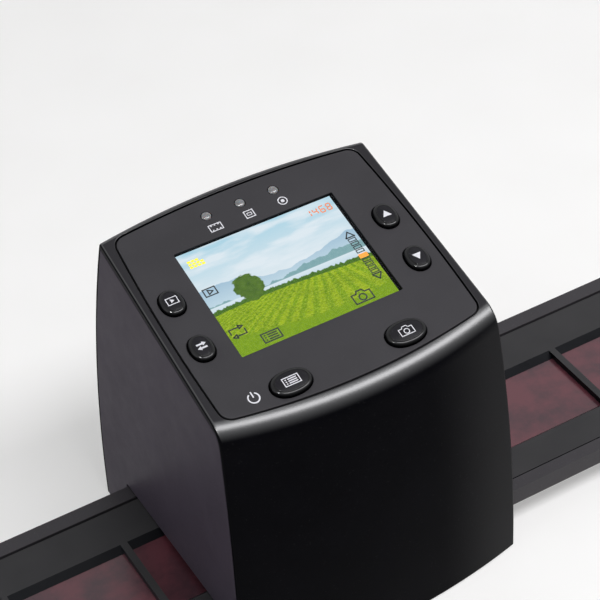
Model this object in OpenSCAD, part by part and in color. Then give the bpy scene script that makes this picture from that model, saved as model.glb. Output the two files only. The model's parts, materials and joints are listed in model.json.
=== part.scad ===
// Desktop film negative scanner: a small tower with a sloping control panel,
// a film holder that slides through slots in both cheeks, a backlight under
// the film, and a lens and image sensor above it.
// X runs to the right, Y to the back, Z up. The origin is on the table under
// the middle of the housing.

/* [Housing] */
// Width of the housing at its base
housing_w = 92; // [90:1:112]
// Depth of the housing at its base, along the cheeks
housing_d = 86; // [85:1:104]
// Height of the control panel's centre above the table
panel_h = 97; // [92:1:120]
// Slope of the control panel, in degrees
panel_tilt = 15; // [10:1:18]
// Wall of the front, top and back
wall = 2.2; // [1.8:0.1:2.6]
// Thickness of the cheeks
cheek_t = 2.2; // [1.6:0.1:2.6]
// Rim of the shell that shows round each cheek
cheek_rim = 0.9; // [0.6:0.1:1.2]
// How far each cheek leans in between the base and the panel
side_draw = 3.6; // [2:0.2:4]
// How far the front leans back between the base and the panel
front_draw = 9.1; // [6:0.5:10]
// How far the back leans forward between the base and the panel
back_draw = 10.9; // [6:0.5:12]
// Plan radius of the bowed front
front_bow_r = 200; // [160:5:300]
// Plan radius of the bowed back
back_bow_r = 240; // [180:5:320]
// Radius of the roll from the panel to the front
roll_r = 8; // [5:0.5:9]
// Radius of the back edge of the panel
back_edge_r = 1.6; // [1:0.2:2.4]
// Thickness of the base plate
base_t = 2; // [1.8:0.1:3]
// How far the feet stand out of the base plate
foot_proud = 0.8; // [0.5:0.1:1]

/* [Control panel] */
// Width of the inlaid faceplate
plate_w = 79.8; // [76:0.2:82]
// Faceplate edge in front of the panel's centre, on the centre line
plate_front = 38; // [37:0.2:38.4]
// Faceplate edge behind the panel's centre, on the centre line
plate_back = 32.7; // [31:0.2:33]
// Plan radius of the faceplate's front edge
plate_front_r = 205; // [180:5:240]
// Plan radius of the faceplate's back edge
plate_back_r = 300; // [240:10:400]
// Plan radius of the faceplate's sides
plate_side_r = 520; // [400:20:1000]
// Corner radius of the faceplate
plate_corner_r = 3.5; // [2:0.5:5]
// Thickness of the faceplate
plate_t = 1.2; // [0.8:0.1:1.5]
// Gap round the faceplate
plate_gap = 0.45; // [0.2:0.05:0.6]
// Sideways place of the display's centre
display_x = -0.8; // [-2:0.2:2]
// Width of the display window
window_w = 50.1; // [46:0.1:52]
// Height of the display window
window_h = 38; // [35:0.5:40]
// Radius of the three indicator lights
light_r = 1.45; // [1:0.05:1.5]
// Distance between the indicator lights
light_pitch = 10.6; // [9:0.2:12]
// Distance of the indicator lights behind the panel's centre
light_v = 26.9; // [26.5:0.1:28]

/* [Buttons] */
// Short size of a small button
small_w = 6.8; // [6:0.1:7.4]
// Long size of a small button
small_l = 8.5; // [8:0.1:9]
// Short size of a large button
large_w = 7.9; // [7:0.1:8.4]
// Long size of a large button
large_l = 11.9; // [11:0.1:13]
// Gap between a button and its hole
button_gap = 0.25; // [0.2:0.05:0.4]
// How far the buttons stand out of the faceplate
button_proud = 1.4; // [0.8:0.1:2]
// Travel of the buttons
button_travel = 0.5; // [0.3:0.05:0.6]

/* [Film holder] */
// Rim of the film holder at its two ends
end_rim = 3; // [2.4:0.2:6]
// Width of the film holder
holder_w = 64; // [60:0.5:65]
// Thickness of the closed film holder
holder_t = 6; // [5.4:0.1:7.2]
// Thickness of the film holder's cover
cover_t = 2; // [1.8:0.1:2.4]
// Height of the film holder's underside above the table
holder_z = 11; // [10.5:0.5:14]
// Sideways place of the film holder's middle
holder_x = 19; // [-57:38:57]
// Place of the film holder's centre line in depth
holder_y = -6; // [-7:0.5:-4]
// Place of the film's centre line in depth
film_y = -8.5; // [-10:0.5:-8]
// Width of the film strip
film_w = 35; // [35:0.1:35.4]
// Thickness of the film strip
film_t = 0.14; // [0.12:0.01:0.2]
// Number of frames on the strip
frames = 6; // [4:2:6]
// Distance between frames
frame_pitch = 38; // [37.5:0.1:38.2]
// Length of a frame window
frame_l = 35.8; // [34:0.1:36]
// Height of a frame window
frame_h = 25.4; // [23:0.1:25.4]
// Running clearance round the film holder
holder_gap = 0.3; // [0.2:0.05:0.5]

/* [Optics] */
// Height of the underside of the sensor board above the table
sensor_z = 58; // [56:1:66]
// Radius of the lens barrel
barrel_r = 6; // [5:0.25:6.5]
// Radius of the lens glass
glass_r = 4.5; // [3.5:0.25:5]
// Wall of the light tunnel
tunnel_wall = 1.6; // [1.2:0.1:2]

/* [Sockets] */
// Width of the data socket
data_w = 7.7; // [7:0.1:9]
// Height of the data socket
data_h = 4; // [3.5:0.1:4.5]
// Width of the memory card slot
card_w = 24.6; // [24.4:0.1:25]
// Height of the memory card slot
card_h = 2.5; // [2.3:0.1:2.8]
// Height of the socket board above the table
socket_z = 40; // [36:1:44]

/* [Hidden] */
$fn = 64;
eps = 0.01;
seam = 0.15;

// Side, front and back lines of the housing at the height z, on the cheeks
side_power = 1.4;
bell_power = 2.3;
function rise(z) = max(z, 0) / panel_h;
function side_x(z) = housing_w / 2 - side_draw * pow(rise(z), side_power);
function front_y(z) = -housing_d / 2 + front_draw * pow(rise(z), bell_power);
function back_y(z) = housing_d / 2 - back_draw * pow(rise(z), bell_power);

// Sagitta of a bow of radius r at the distance x from its middle
function sag(r, x) = r - sqrt(r * r - x * x);
front_sag = sag(front_bow_r, housing_w / 2);
back_sag = sag(back_bow_r, housing_w / 2);
// Inner faces of the front and back walls at the distance x from the middle, low down
function front_inner(x) = -housing_d / 2 - front_sag + sag(front_bow_r, x) + wall;
function back_inner(x, z) = back_y(z) + back_sag - sag(back_bow_r, x) - wall;

// A point of the middle section, turned into the panel's own frame
function in_panel(y, z) = [
    y * cos(panel_tilt) + (z - panel_h) * sin(panel_tilt),
    -y * sin(panel_tilt) + (z - panel_h) * cos(panel_tilt)
];
function mid_front(z) = in_panel(front_y(z) - front_sag, z);
function mid_back(z) = in_panel(back_y(z) + back_sag, z);

// Lean of the front and back faces at the height z, and the turn from the panel to them
function lean(draw, z) = atan(draw * bell_power / panel_h * pow(rise(z), bell_power - 1));
function front_turn(z) = 90 - lean(front_draw, z) - panel_tilt;
function back_turn(z) = 90 - lean(back_draw, z) + panel_tilt;
// Heights at which the front meets the roll and the back meets its edge, found in two steps
high = 0.84 * panel_h;
function roll_z(z) = panel_h + (-roll_r * (1 - cos(front_turn(z)))
    + (front_y(z) - front_sag) * sin(panel_tilt)) / cos(panel_tilt);
roll_foot = roll_z(roll_z(high));
function edge_z(z) = panel_h + (-back_edge_r * (1 - cos(back_turn(z)))
    + (back_y(z) + back_sag) * sin(panel_tilt)) / cos(panel_tilt);
edge_foot = edge_z(edge_z(panel_h));
roll_v = mid_front(roll_foot)[0] + roll_r * sin(front_turn(roll_foot));
edge_v = mid_back(edge_foot)[0] - back_edge_r * sin(back_turn(edge_foot));

// Sheet under the faceplate, and the depth of its underside below the faceplate's surface
top_wall = 1.8;
shelf = plate_t + top_wall;

below = -14;
steps = 7;
arc_steps = 5;
front_heights = [for (i = [0:steps]) below + (roll_foot - below) * i / steps];
back_heights = [for (i = [0:steps]) below + (edge_foot - below) * i / steps];
// Axes of the two bows, in the panel's frame
front_axis = mid_front(below)[0] + front_bow_r;
back_axis = mid_back(below)[0] - back_bow_r;
// Section of the front and of the back in the panel's frame, moved in by inset: through the
// middle, or along the cheeks, where the bow has come in by its sagitta
function front_line(inset, cheeks) = concat(
    [for (z = front_heights) let (p = mid_front(z), a = front_turn(z))
        [p[0] + inset * sin(a) + (cheeks ? sag(front_axis - p[0], side_x(z)) : 0), p[1] - inset * cos(a)]],
    [for (i = [1:arc_steps]) let (a = front_turn(roll_foot) * (1 - i / arc_steps), r = roll_r - inset)
        [roll_v - r * sin(a) + (cheeks ? sag(front_axis - roll_v, side_x(roll_foot)) : 0),
         r * cos(a) - roll_r]]);
function back_line(inset, cheeks) = concat(
    [for (z = back_heights) let (p = mid_back(z), a = back_turn(z))
        [p[0] - inset * sin(a) - (cheeks ? sag(p[0] - back_axis, side_x(z)) : 0), p[1] - inset * cos(a)]],
    [for (i = [1:arc_steps]) let (a = back_turn(edge_foot) * (1 - i / arc_steps),
                                  r = back_edge_r - inset)
        [edge_v + r * sin(a) - (cheeks ? sag(edge_v - back_axis, side_x(edge_foot)) : 0),
         r * cos(a) - back_edge_r]]);
function reversed(list) = [for (i = [len(list) - 1:-1:0]) list[i]];
// The part of a line that lies more than the shelf's thickness below the panel
function under_shelf(list) = [for (p = list) if (p[1] < -shelf - 0.2) p];
function last(list) = list[len(list) - 1];
// Half the angle that each wall takes about its axis
half_sweep = 17;
overlap = 3;

module on_panel() {
    translate([0, 0, panel_h]) rotate([panel_tilt, 0, 0]) children();
}

// Front wall, roll and front half of the top, as one bowed sheet
module front_sheet() {
    outer = front_line(0, false);
    inner = under_shelf(front_line(wall, false));
    corner = [last(inner)[0] + 0.5, -shelf];
    outline = concat(outer, [[overlap, 0], [overlap, -shelf], corner], reversed(inner));
    on_panel() translate([0, front_axis, 0]) rotate(-90 - half_sweep)
        rotate_extrude(angle = 2 * half_sweep, $fn = 240)
            polygon([for (p = outline) [front_axis - p[0], p[1]]]);
}

// Back wall and back half of the top, as one bowed sheet
module back_sheet() {
    outer = back_line(0, false);
    inner = under_shelf(back_line(wall, false));
    corner = [last(inner)[0] - 0.3, -shelf];
    outline = concat(outer, [[-overlap, 0], [-overlap, -shelf], corner], reversed(inner));
    on_panel() translate([0, back_axis, 0]) rotate(90 - half_sweep)
        rotate_extrude(angle = 2 * half_sweep, $fn = 240)
            polygon([for (p = outline) [p[0] - back_axis, p[1]]]);
}

// Everything between the two leaning sides, moved in by inset
side_top = panel_h + housing_d / 2;
module side_body(inset) {
    right = [for (i = [0:steps]) let (z = side_top * i / steps) [side_x(z) - inset, z]];
    rotate([90, 0, 0]) linear_extrude(height = 3 * housing_d, center = true)
        polygon(concat(right, reversed([for (p = right) [-p[0], p[1]]])));
}

// The outline that the housing has along its cheeks, right across in X: moved in by inset, and
// at least drop below the panel
cheek_drop = plate_t + 0.7;
function lowered(list, drop) = [for (p = list) [p[0], min(p[1], -drop)]];
module cheek_block(inset, drop) {
    outline = concat(front_line(inset, true), reversed(back_line(inset, true)));
    on_panel() rotate([90, 0, 90]) linear_extrude(height = 2 * housing_w, center = true)
        polygon(lowered(outline, drop));
}

module stadium(w, l, upright) {
    r = w / 2;
    run = l / 2 - r;
    turn = upright ? 90 : 0;
    rotate(turn) union() {
        square([2 * run, w], center = true);
        for (s = [-1, 1]) translate([s * run, 0]) circle(r);
    }
}

// Buttons: [sideways place, place up the panel, width, length, upright]
small_x = 33.2;
upper_v = 4.55;
lower_v = -11.85;
large_x = 17.7;
large_v = -31.85;
play_at = [-small_x + display_x, upper_v, small_w, small_l, true];
flip_at = [-small_x + display_x, lower_v, small_w, small_l, true];
up_at = [small_x, upper_v, small_w, small_l, true];
down_at = [small_x, lower_v, small_w, small_l, true];
menu_at = [display_x - large_x, large_v, large_w, large_l, false];
shutter_at = [display_x + large_x, large_v, large_w, large_l, false];
buttons = [play_at, flip_at, up_at, down_at, menu_at, shutter_at];

module at_button(b) {
    translate([b[0], b[1], 0]) children();
}
module button_shape(b, grow) {
    stadium(b[2] + 2 * grow, b[3] + 2 * grow, b[4]);
}

// Indicator lights: sideways places
lights = [for (i = [-1:1]) display_x + i * light_pitch];

// Depths of the main board below the faceplate's surface
board_top = 7;
board_t = 1.6;
board_bottom = board_top + board_t;

// Outline of the faceplate, grown by grow: four bows, widest plate_side_v in front of the centre
plate_side_v = 12;
module plate_outline(grow) {
    offset(r = plate_corner_r + grow, $fn = 32) offset(delta = -plate_corner_r)
        intersection() {
            intersection_for (s = [-1, 1])
                translate([s * (plate_side_r - plate_w / 2), -plate_side_v]) circle(plate_side_r, $fn = 360);
            translate([0, plate_front_r - plate_front]) circle(plate_front_r, $fn = 180);
            translate([0, plate_back - plate_back_r]) circle(plate_back_r, $fn = 180);
        }
}

// Body of the display module behind the window
lcd_w = window_w + 7.4;
lcd_h = window_h + 7;
lcd_t = 2.4;
lcd_gap = 0.2;

// Screws of the main board: [sideways place, place up the panel]
board_screws_at = [for (x = [-1, 1]) for (v = [-24, 21.5]) [x * 33.5, v]];
screw_r = 1.1;
pilot_r = 1.15;
boss_r = 2.6;
head_r = 2.1;
head_t = 1.2;
hole_r = 1.3;

// Bosses for the screws of the base plate: [x, y], against the front and back walls
corner_boss_r = 3.2;
base_screw_r = 1.15;
base_screw_l = 5;
base_head_r = 2;
base_head_t = 0.9;
front_boss_x = 30;
back_boss_x = 34;
boss_sink = 0.4;
front_boss_y = front_inner(front_boss_x) + corner_boss_r - boss_sink;
back_boss_y = back_inner(back_boss_x, 0) - corner_boss_r + boss_sink;
base_bosses = [
    [-front_boss_x, front_boss_y], [front_boss_x, front_boss_y],
    [-back_boss_x, back_boss_y], [back_boss_x, back_boss_y]
];
plate_top = foot_proud + base_t;
base_gap = 0.4;
boss_top = plate_top + base_screw_l + 1;

// Sockets at the back
data_x = -20;
card_x = 8;
socket_t = 1.6;
socket_top = socket_z + socket_t;
socket_wall_gap = 0.3;
data_y = back_inner(abs(data_x) + data_w / 2, socket_top + data_h) - socket_wall_gap;
card_y = back_inner(abs(card_x) + card_w / 2 + 2, socket_top + card_h) - socket_wall_gap;
port_gap = 0.6;
metal_t = 0.5;

module main_shell() color("#1c1b20") difference() {
    union() {
        difference() {
            intersection() {
                union() {
                    front_sheet();
                    back_sheet();
                }
                side_body(0);
            }
            difference() {
                cheek_block(cheek_rim, cheek_drop);
                side_body(cheek_t + seam);
            }
        }
        on_panel() for (p = board_screws_at) translate([p[0], p[1], -board_top])
            cylinder(r = boss_r, h = board_top - shelf + eps);
        for (b = base_bosses) corner_boss(b);
    }
    translate([-housing_w, -housing_w, below]) cube([2 * housing_w, 2 * housing_w, foot_proud - below]);
    on_panel() {
        translate([0, 0, -plate_t]) linear_extrude(height = 2 * plate_t) plate_outline(plate_gap);
        translate([display_x, 0, -shelf])
            cube([lcd_w + 2 * lcd_gap, lcd_h + 2 * lcd_gap, 4 * shelf], center = true);
        for (b = buttons) at_button(b) translate([0, 0, -2 * shelf])
            linear_extrude(height = 2 * shelf) button_shape(b, button_gap);
        for (x = lights) translate([x, light_v, -2 * shelf])
            cylinder(r = light_r + seam, h = 2 * shelf);
        for (p = board_screws_at) translate([p[0], p[1], -board_top - eps])
            cylinder(r = pilot_r, h = board_top - plate_t - 1, $fn = 32);
    }
    for (b = base_bosses) translate([b[0], b[1], foot_proud - eps])
        cylinder(r = base_screw_r + 0.05, h = base_t + base_screw_l, $fn = 32);
    translate([data_x - data_w / 2 - port_gap, housing_d / 4, socket_top])
        cube([data_w + 2 * port_gap, housing_d, data_h]);
    translate([card_x - card_w / 2 - port_gap, housing_d / 4, socket_top])
        cube([card_w + 2 * port_gap, housing_d, card_h + 2 * metal_t]);
}

module corner_boss(b) {
    translate([b[0], b[1], plate_top + seam])
        cylinder(r = corner_boss_r, h = boss_top - plate_top - seam);
}

// Film slot in the cheeks: clear of the holder all round
slot_gap = 0.6;
module cheek(side) color("#4d474e") difference() {
    intersection() {
        cheek_block(cheek_rim + seam, cheek_drop + seam);
        side_body(0);
        translate([side > 0 ? 0 : -housing_w, -housing_w, foot_proud])
            cube([housing_w, 2 * housing_w, 2 * panel_h]);
    }
    side_body(cheek_t);
    translate([-housing_w, holder_y - holder_w / 2 - slot_gap, holder_z - slot_gap])
        cube([2 * housing_w, holder_w + 2 * slot_gap, holder_t + 2 * slot_gap]);
}
module left_cheek() cheek(-1);
module right_cheek() cheek(1);

// Feet: [x, y]
foot_r = 4.5;
foot_t = 1.6;
foot_x = 34;
feet = [for (x = [-1, 1]) for (y = [-30, 27]) [x * foot_x, y]];

// Posts of the film track and of the socket board
track_wall = 5;
track_half = 26;
track_screw_x = 20;
track_front = holder_y - holder_w / 2 - holder_gap;
track_back = holder_y + holder_w / 2 + holder_gap;
track_screws_at = [for (x = [-1, 1])
    for (y = [track_front - track_wall / 2, track_back + track_wall / 2]) [x * track_screw_x, y]];
track_floor_t = 1.6;
track_bottom = holder_z - holder_gap - track_floor_t;
track_top = holder_z + holder_t + holder_gap;
socket_post_x = 27.5;
socket_post_y = track_back + track_wall + boss_r + 1;
socket_posts = [for (x = [-1, 1]) [x * socket_post_x, socket_post_y]];

module base_plate() color("#26252a") difference() {
    union() {
        intersection() {
            translate([0, front_inner(0) + base_gap + front_bow_r - wall, foot_proud])
                cylinder(r = front_bow_r - wall, h = base_t, $fn = 240);
            translate([0, back_inner(0, 0) - base_gap - back_bow_r + wall, foot_proud])
                cylinder(r = back_bow_r - wall, h = base_t, $fn = 240);
            side_body(cheek_t + seam);
        }
        for (p = track_screws_at) translate([p[0], p[1], foot_proud + eps])
            cylinder(r = track_wall / 2, h = track_bottom - foot_proud - eps);
        for (p = socket_posts) translate([p[0], p[1], foot_proud + eps])
            cylinder(r = boss_r, h = socket_z - foot_proud - eps);
    }
    for (f = feet) translate([f[0], f[1], -eps]) cylinder(r = foot_r + 0.1, h = foot_t + eps);
    for (b = base_bosses) translate([b[0], b[1], -eps]) {
        cylinder(r = hole_r, h = plate_top + 1);
        cylinder(r = base_head_r + 0.15, h = foot_proud + base_head_t + eps);
    }
    for (p = track_screws_at) translate([p[0], p[1], track_bottom - 5])
        cylinder(r = pilot_r, h = 6, $fn = 32);
    for (p = socket_posts) translate([p[0], p[1], socket_z - 8])
        cylinder(r = pilot_r, h = 9, $fn = 32);
}

module rubber_feet() color("#18181a") for (f = feet) translate([f[0], f[1], 0])
    cylinder(r = foot_r, h = foot_t);

module pan_screw(shaft_r, length, cap_r, cap_t) {
    translate([0, 0, -length]) cylinder(r = shaft_r, h = length + eps);
    difference() {
        cylinder(r = cap_r, h = cap_t);
        for (a = [0, 90]) rotate(a) translate([0, 0, cap_t])
            cube([cap_r * 1.2, cap_r * 0.28, cap_t], center = true);
    }
}

module base_screws() color("#8f9094") for (b = base_bosses)
    translate([b[0], b[1], foot_proud + base_head_t]) rotate([180, 0, 0])
        pan_screw(base_screw_r, base_screw_l, base_head_r, base_head_t - 0.1);

module faceplate() color("#454448") on_panel() difference() {
    translate([0, 0, -plate_t]) linear_extrude(height = plate_t) plate_outline(0);
    translate([display_x, 0, 0]) cube([window_w, window_h, 4 * plate_t], center = true);
    for (b = buttons) at_button(b) translate([0, 0, -2 * plate_t])
        linear_extrude(height = 3 * plate_t) button_shape(b, button_gap);
    for (x = lights) translate([x, light_v, -2 * plate_t])
        cylinder(r = light_r + seam, h = 3 * plate_t);
}

// Clear pane in the window, with the display's surface right behind it
pane_t = 0.8;
pane_gap = 0.1;
module display_window() color("#a9b6c4", 0.4) on_panel()
    translate([display_x, 0, -plate_t + pane_t / 2])
        cube([window_w - 2 * pane_gap, window_h - 2 * pane_gap, pane_t], center = true);

module lcd_panel() color("#7fa6c8") on_panel()
    translate([display_x, 0, -plate_t - lcd_t / 2]) cube([lcd_w, lcd_h, lcd_t], center = true);

frame_bar = 3;
module display_frame() color("#d9d9d4") on_panel()
    translate([display_x, 0, -(plate_t + lcd_t + board_top) / 2]) difference() {
        cube([lcd_w, lcd_h, board_top - plate_t - lcd_t], center = true);
        cube([lcd_w - 2 * frame_bar, lcd_h - 2 * frame_bar, board_top], center = true);
    }

board_w = 75;
board_front = 34.2;
board_back = light_v + 1;
module main_board() color("#1f5f3a") on_panel() difference() {
    translate([-board_w / 2, -board_front, -board_bottom])
        cube([board_w, board_front + board_back, board_t]);
    for (p = board_screws_at) translate([p[0], p[1], -board_bottom - 1])
        cylinder(r = hole_r, h = board_t + 2, $fn = 32);
}

module board_screws() color("#9a9ba0") on_panel() for (p = board_screws_at)
    translate([p[0], p[1], -board_bottom]) rotate([180, 0, 0])
        pan_screw(screw_r, 4.6, head_r, head_t);

// Connectors and chips under the main board: [x, v, width, depth, height]
sensor_plug = [0, 8, 15, 4, 1.6];
socket_plug = [-16, 22, 13, 4, 1.6];
chips = [[-20, -8, 14, 14, 1.2], [14, -10, 11, 8, 1.0], [20, 8, 9, 12, 1.1]];
module main_chips() color("#17181a") on_panel() for (c = concat(chips, [sensor_plug, socket_plug]))
    translate([c[0] - c[2] / 2, c[1] - c[3] / 2, -board_bottom - c[4]]) cube([c[2], c[3], c[4]]);

switch_w = 4.6;
switch_t = 1.8;
plunger_r = 1;
stem_r = 1.3;
flange_t = 0.8;
flange_grow = 0.8;
flange_gap = 0.1;
flange_low = shelf + flange_gap + flange_t;
plunger_top = board_top - switch_t - 0.3;
stem_low = plunger_top - button_travel - 0.05;
module tact_switches() color("#6f7276") on_panel() for (b = buttons) at_button(b) {
    translate([0, 0, -board_top + switch_t / 2]) cube([switch_w, switch_w, switch_t], center = true);
    translate([0, 0, -board_top + switch_t - eps])
        cylinder(r = plunger_r, h = board_top - switch_t - plunger_top + eps);
}

module indicator_lights() color("#8b8b8e") on_panel() for (x = lights)
    translate([x, light_v, 0]) {
        intersection() {
            translate([0, 0, -board_top + 1.6]) cylinder(r = light_r, h = board_top);
            translate([0, 0, -1.2]) union() {
                sphere(r = 1.75);
                translate([0, 0, -board_top]) cylinder(r = light_r + 1, h = board_top);
            }
        }
        translate([0, 0, -board_top + 1.6]) cylinder(r = light_r + 0.4, h = 0.8);
        for (s = [-1, 1]) translate([s * 0.9, 0, -board_top]) cylinder(r = 0.25, h = 1.7, $fn = 16);
    }

module button(b) color("#0b0b0d") on_panel() at_button(b) {
    translate([0, 0, -flange_low]) linear_extrude(height = flange_low + button_proud)
        button_shape(b, 0);
    translate([0, 0, -flange_low]) linear_extrude(height = flange_t) button_shape(b, flange_grow);
    translate([0, 0, -stem_low]) cylinder(r = stem_r, h = stem_low - flange_low + eps);
}
module play_button() button(play_at);
module flip_button() button(flip_at);
module up_button() button(up_at);
module down_button() button(down_at);
module menu_button() button(menu_at);
module shutter_button() button(shutter_at);

// Film track: a floor with two thick side walls, over the backlight
aperture_l = frame_l + 2;
aperture_h = frame_h + 2;
diffuser_l = aperture_l + 2;
diffuser_h = aperture_h + 2;
diffuser_t = 1.4;
spring_l = 26;
spring_t = 0.4;
spring_h = 2.4;
bump_r = 1.2;
bump_reach = 0.8;
spring_z = holder_z + 0.3;
module lower_track() color("#2b2a2e") difference() {
    translate([-track_half, track_front - track_wall, track_bottom])
        cube([2 * track_half, track_back - track_front + 2 * track_wall, track_top - track_bottom]);
    translate([-track_half - 1, track_front, holder_z - holder_gap])
        cube([2 * track_half + 2, track_back - track_front, holder_t + 2 * holder_gap + 1]);
    translate([-diffuser_l / 2 - 0.1, film_y - diffuser_h / 2 - 0.1, track_bottom - 1])
        cube([diffuser_l + 0.2, diffuser_h + 0.2, track_floor_t + 2]);
    for (p = track_screws_at) translate([p[0], p[1], track_bottom - 1])
        cylinder(r = hole_r, h = track_top, $fn = 32);
    translate([-spring_l / 2 - 0.2, track_back - 1, spring_z - 0.2])
        cube([spring_l + 0.4, 1 + spring_t + 0.6, track_top]);
}

// Leaf with a rounded bump that drops into the notches in the holder's back edge
module detent_spring() color("#b4b5b8") difference() {
    union() {
        translate([-spring_l / 2, track_back + 0.4, spring_z]) cube([spring_l, spring_t, spring_h]);
        translate([0, track_back - holder_gap - bump_reach + bump_r, spring_z])
            cylinder(r = bump_r, h = spring_h, $fn = 32);
    }
    translate([-spring_l / 2, track_back + 0.4 + spring_t, spring_z - 1])
        cube([spring_l, 2 * bump_r, spring_h + 2]);
}

// A block that narrows evenly from the low size to the high size
module taper(low, high, height) {
    intersection() {
        rotate([90, 0, 0]) linear_extrude(height = 2 * low[1], center = true)
            polygon([[-low[0] / 2, 0], [low[0] / 2, 0], [high[0] / 2, height], [-high[0] / 2, height]]);
        rotate([90, 0, 90]) linear_extrude(height = 2 * low[0], center = true)
            polygon([[-low[1] / 2, 0], [low[1] / 2, 0], [high[1] / 2, height], [-high[1] / 2, height]]);
    }
}

deck_t = 1.6;
deck_top = track_top + deck_t;
mount_w = 24;
mount_z = sensor_z - 10;
tunnel_flange_t = 2;
throat = 2 * barrel_r + 3;
tunnel_h = mount_z - tunnel_flange_t - deck_top;
// Light tunnel: the track's cover and a tapered hood that carries the lens mount
module light_tunnel() color("#1d1c1f") difference() {
    union() {
        translate([-track_half, track_front - track_wall, track_top])
            cube([2 * track_half, track_back - track_front + 2 * track_wall, deck_t]);
        translate([0, film_y, deck_top - eps])
            taper([aperture_l + 2 * tunnel_wall, aperture_h + 2 * tunnel_wall],
                  [throat + 2 * tunnel_wall, throat + 2 * tunnel_wall], tunnel_h + 2 * eps);
        translate([-mount_w / 2, film_y - mount_w / 2, mount_z - tunnel_flange_t])
            cube([mount_w, mount_w, tunnel_flange_t]);
    }
    translate([0, film_y, deck_top])
        taper([aperture_l, aperture_h], [throat, throat], tunnel_h);
    translate([-aperture_l / 2, film_y - aperture_h / 2, track_top - 1])
        cube([aperture_l, aperture_h, deck_t + 1 + eps]);
    translate([0, film_y, mount_z - tunnel_flange_t - 1])
        cylinder(r = barrel_r + 0.4, h = tunnel_flange_t + 2);
    for (p = mount_screws) translate([p[0], p[1], mount_z - tunnel_flange_t - 1])
        cylinder(r = pilot_r, h = tunnel_flange_t + 2, $fn = 32);
    for (p = track_screws_at) translate([p[0], p[1], track_top - 1])
        cylinder(r = hole_r, h = deck_t + 2, $fn = 32);
}

track_screw_l = deck_top - track_bottom + 4;
module track_screws() color("#9a9ba0") for (p = track_screws_at)
    translate([p[0], p[1], deck_top]) pan_screw(screw_r, track_screw_l, head_r, head_t);

box_l = diffuser_l + 4;
box_h = diffuser_h + 4;
box_inner_l = diffuser_l - 4;
box_inner_h = diffuser_h - 4;
box_floor_t = 0.8;
led_board_t = 1.2;
led_board_z = plate_top + box_floor_t;
led_top = led_board_z + led_board_t;
cable_w = 4;
cable_t = 0.5;
cable_x = 0;
module backlight_box() color("#e9e9e6") difference() {
    translate([-box_l / 2, film_y - box_h / 2, plate_top])
        cube([box_l, box_h, track_bottom - plate_top]);
    translate([-box_inner_l / 2, film_y - box_inner_h / 2, led_board_z])
        cube([box_inner_l, box_inner_h, track_bottom]);
    translate([cable_x - cable_w / 2 - 0.4, film_y, led_top])
        cube([cable_w + 0.8, box_h, cable_t + 0.4]);
}
module led_board() color("#e4e6e2")
    translate([-box_inner_l / 2 + 0.2, film_y - box_inner_h / 2 + 0.2, led_board_z])
        cube([box_inner_l - 0.4, box_inner_h - 0.4, led_board_t]);

led_size = [3.5, 2.8, 0.8];
module backlight_leds() color("#f4e7a4") for (x = [-11, 0, 11]) for (y = [-6.5, 6.5])
    translate([x - led_size[0] / 2, film_y + y - led_size[1] / 2, led_top]) cube(led_size);

module diffuser() color("#f5f5f2")
    translate([-diffuser_l / 2, film_y - diffuser_h / 2, track_bottom])
        cube([diffuser_l, diffuser_h, diffuser_t]);

// Flat cable with right-angle turns, drawn in the YZ plane
module flat_cable(points, width, x) {
    translate([x - width / 2, 0, 0]) rotate([90, 0, 90]) linear_extrude(height = width)
        polygon(points);
}
cable_y = track_back + track_wall + 0.8;
module backlight_cable() color("#d8d8d8") flat_cable([
        [film_y + box_inner_h / 2 - 2, led_top], [cable_y + cable_t, led_top],
        [cable_y + cable_t, socket_z], [cable_y, socket_z],
        [cable_y, led_top + cable_t], [film_y + box_inner_h / 2 - 2, led_top + cable_t]
    ], cable_w, cable_x);

mount_screw_at = 9.6;
mount_screws = [for (x = [-1, 1]) for (y = [-1, 1])
    [x * mount_screw_at, film_y + y * mount_screw_at]];
sensor_pocket = 10;
sensor_pocket_t = 4;
module lens_mount() color("#232225") difference() {
    translate([-mount_w / 2, film_y - mount_w / 2, mount_z])
        cube([mount_w, mount_w, sensor_z - mount_z]);
    translate([0, film_y, mount_z - 1]) cylinder(r = barrel_r + 0.05, h = sensor_z - mount_z);
    translate([-sensor_pocket / 2, film_y - sensor_pocket / 2, sensor_z - sensor_pocket_t])
        cube([sensor_pocket, sensor_pocket, sensor_pocket_t + 1]);
    for (p = mount_screws) translate([p[0], p[1], mount_z - 1])
        cylinder(r = hole_r, h = sensor_z - mount_z + 2, $fn = 32);
}

barrel_low = mount_z - 3;
barrel_l = 8.4;
module lens_barrel() color("#2e2e31") translate([0, film_y, barrel_low]) difference() {
    cylinder(r = barrel_r, h = barrel_l);
    translate([0, 0, -1]) cylinder(r = glass_r + 0.03, h = barrel_l + 2);
}
module lens_elements() color("#b9cfe0", 0.6) for (z = [0.5, barrel_l - 2.3])
    translate([0, film_y, barrel_low + z]) cylinder(r = glass_r, h = 1.8);

chip_w = 8;
chip_t = 1.2;
module image_sensor() color("#3a4a3e")
    translate([-chip_w / 2, film_y - chip_w / 2, sensor_z - chip_t]) cube([chip_w, chip_w, chip_t]);

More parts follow.
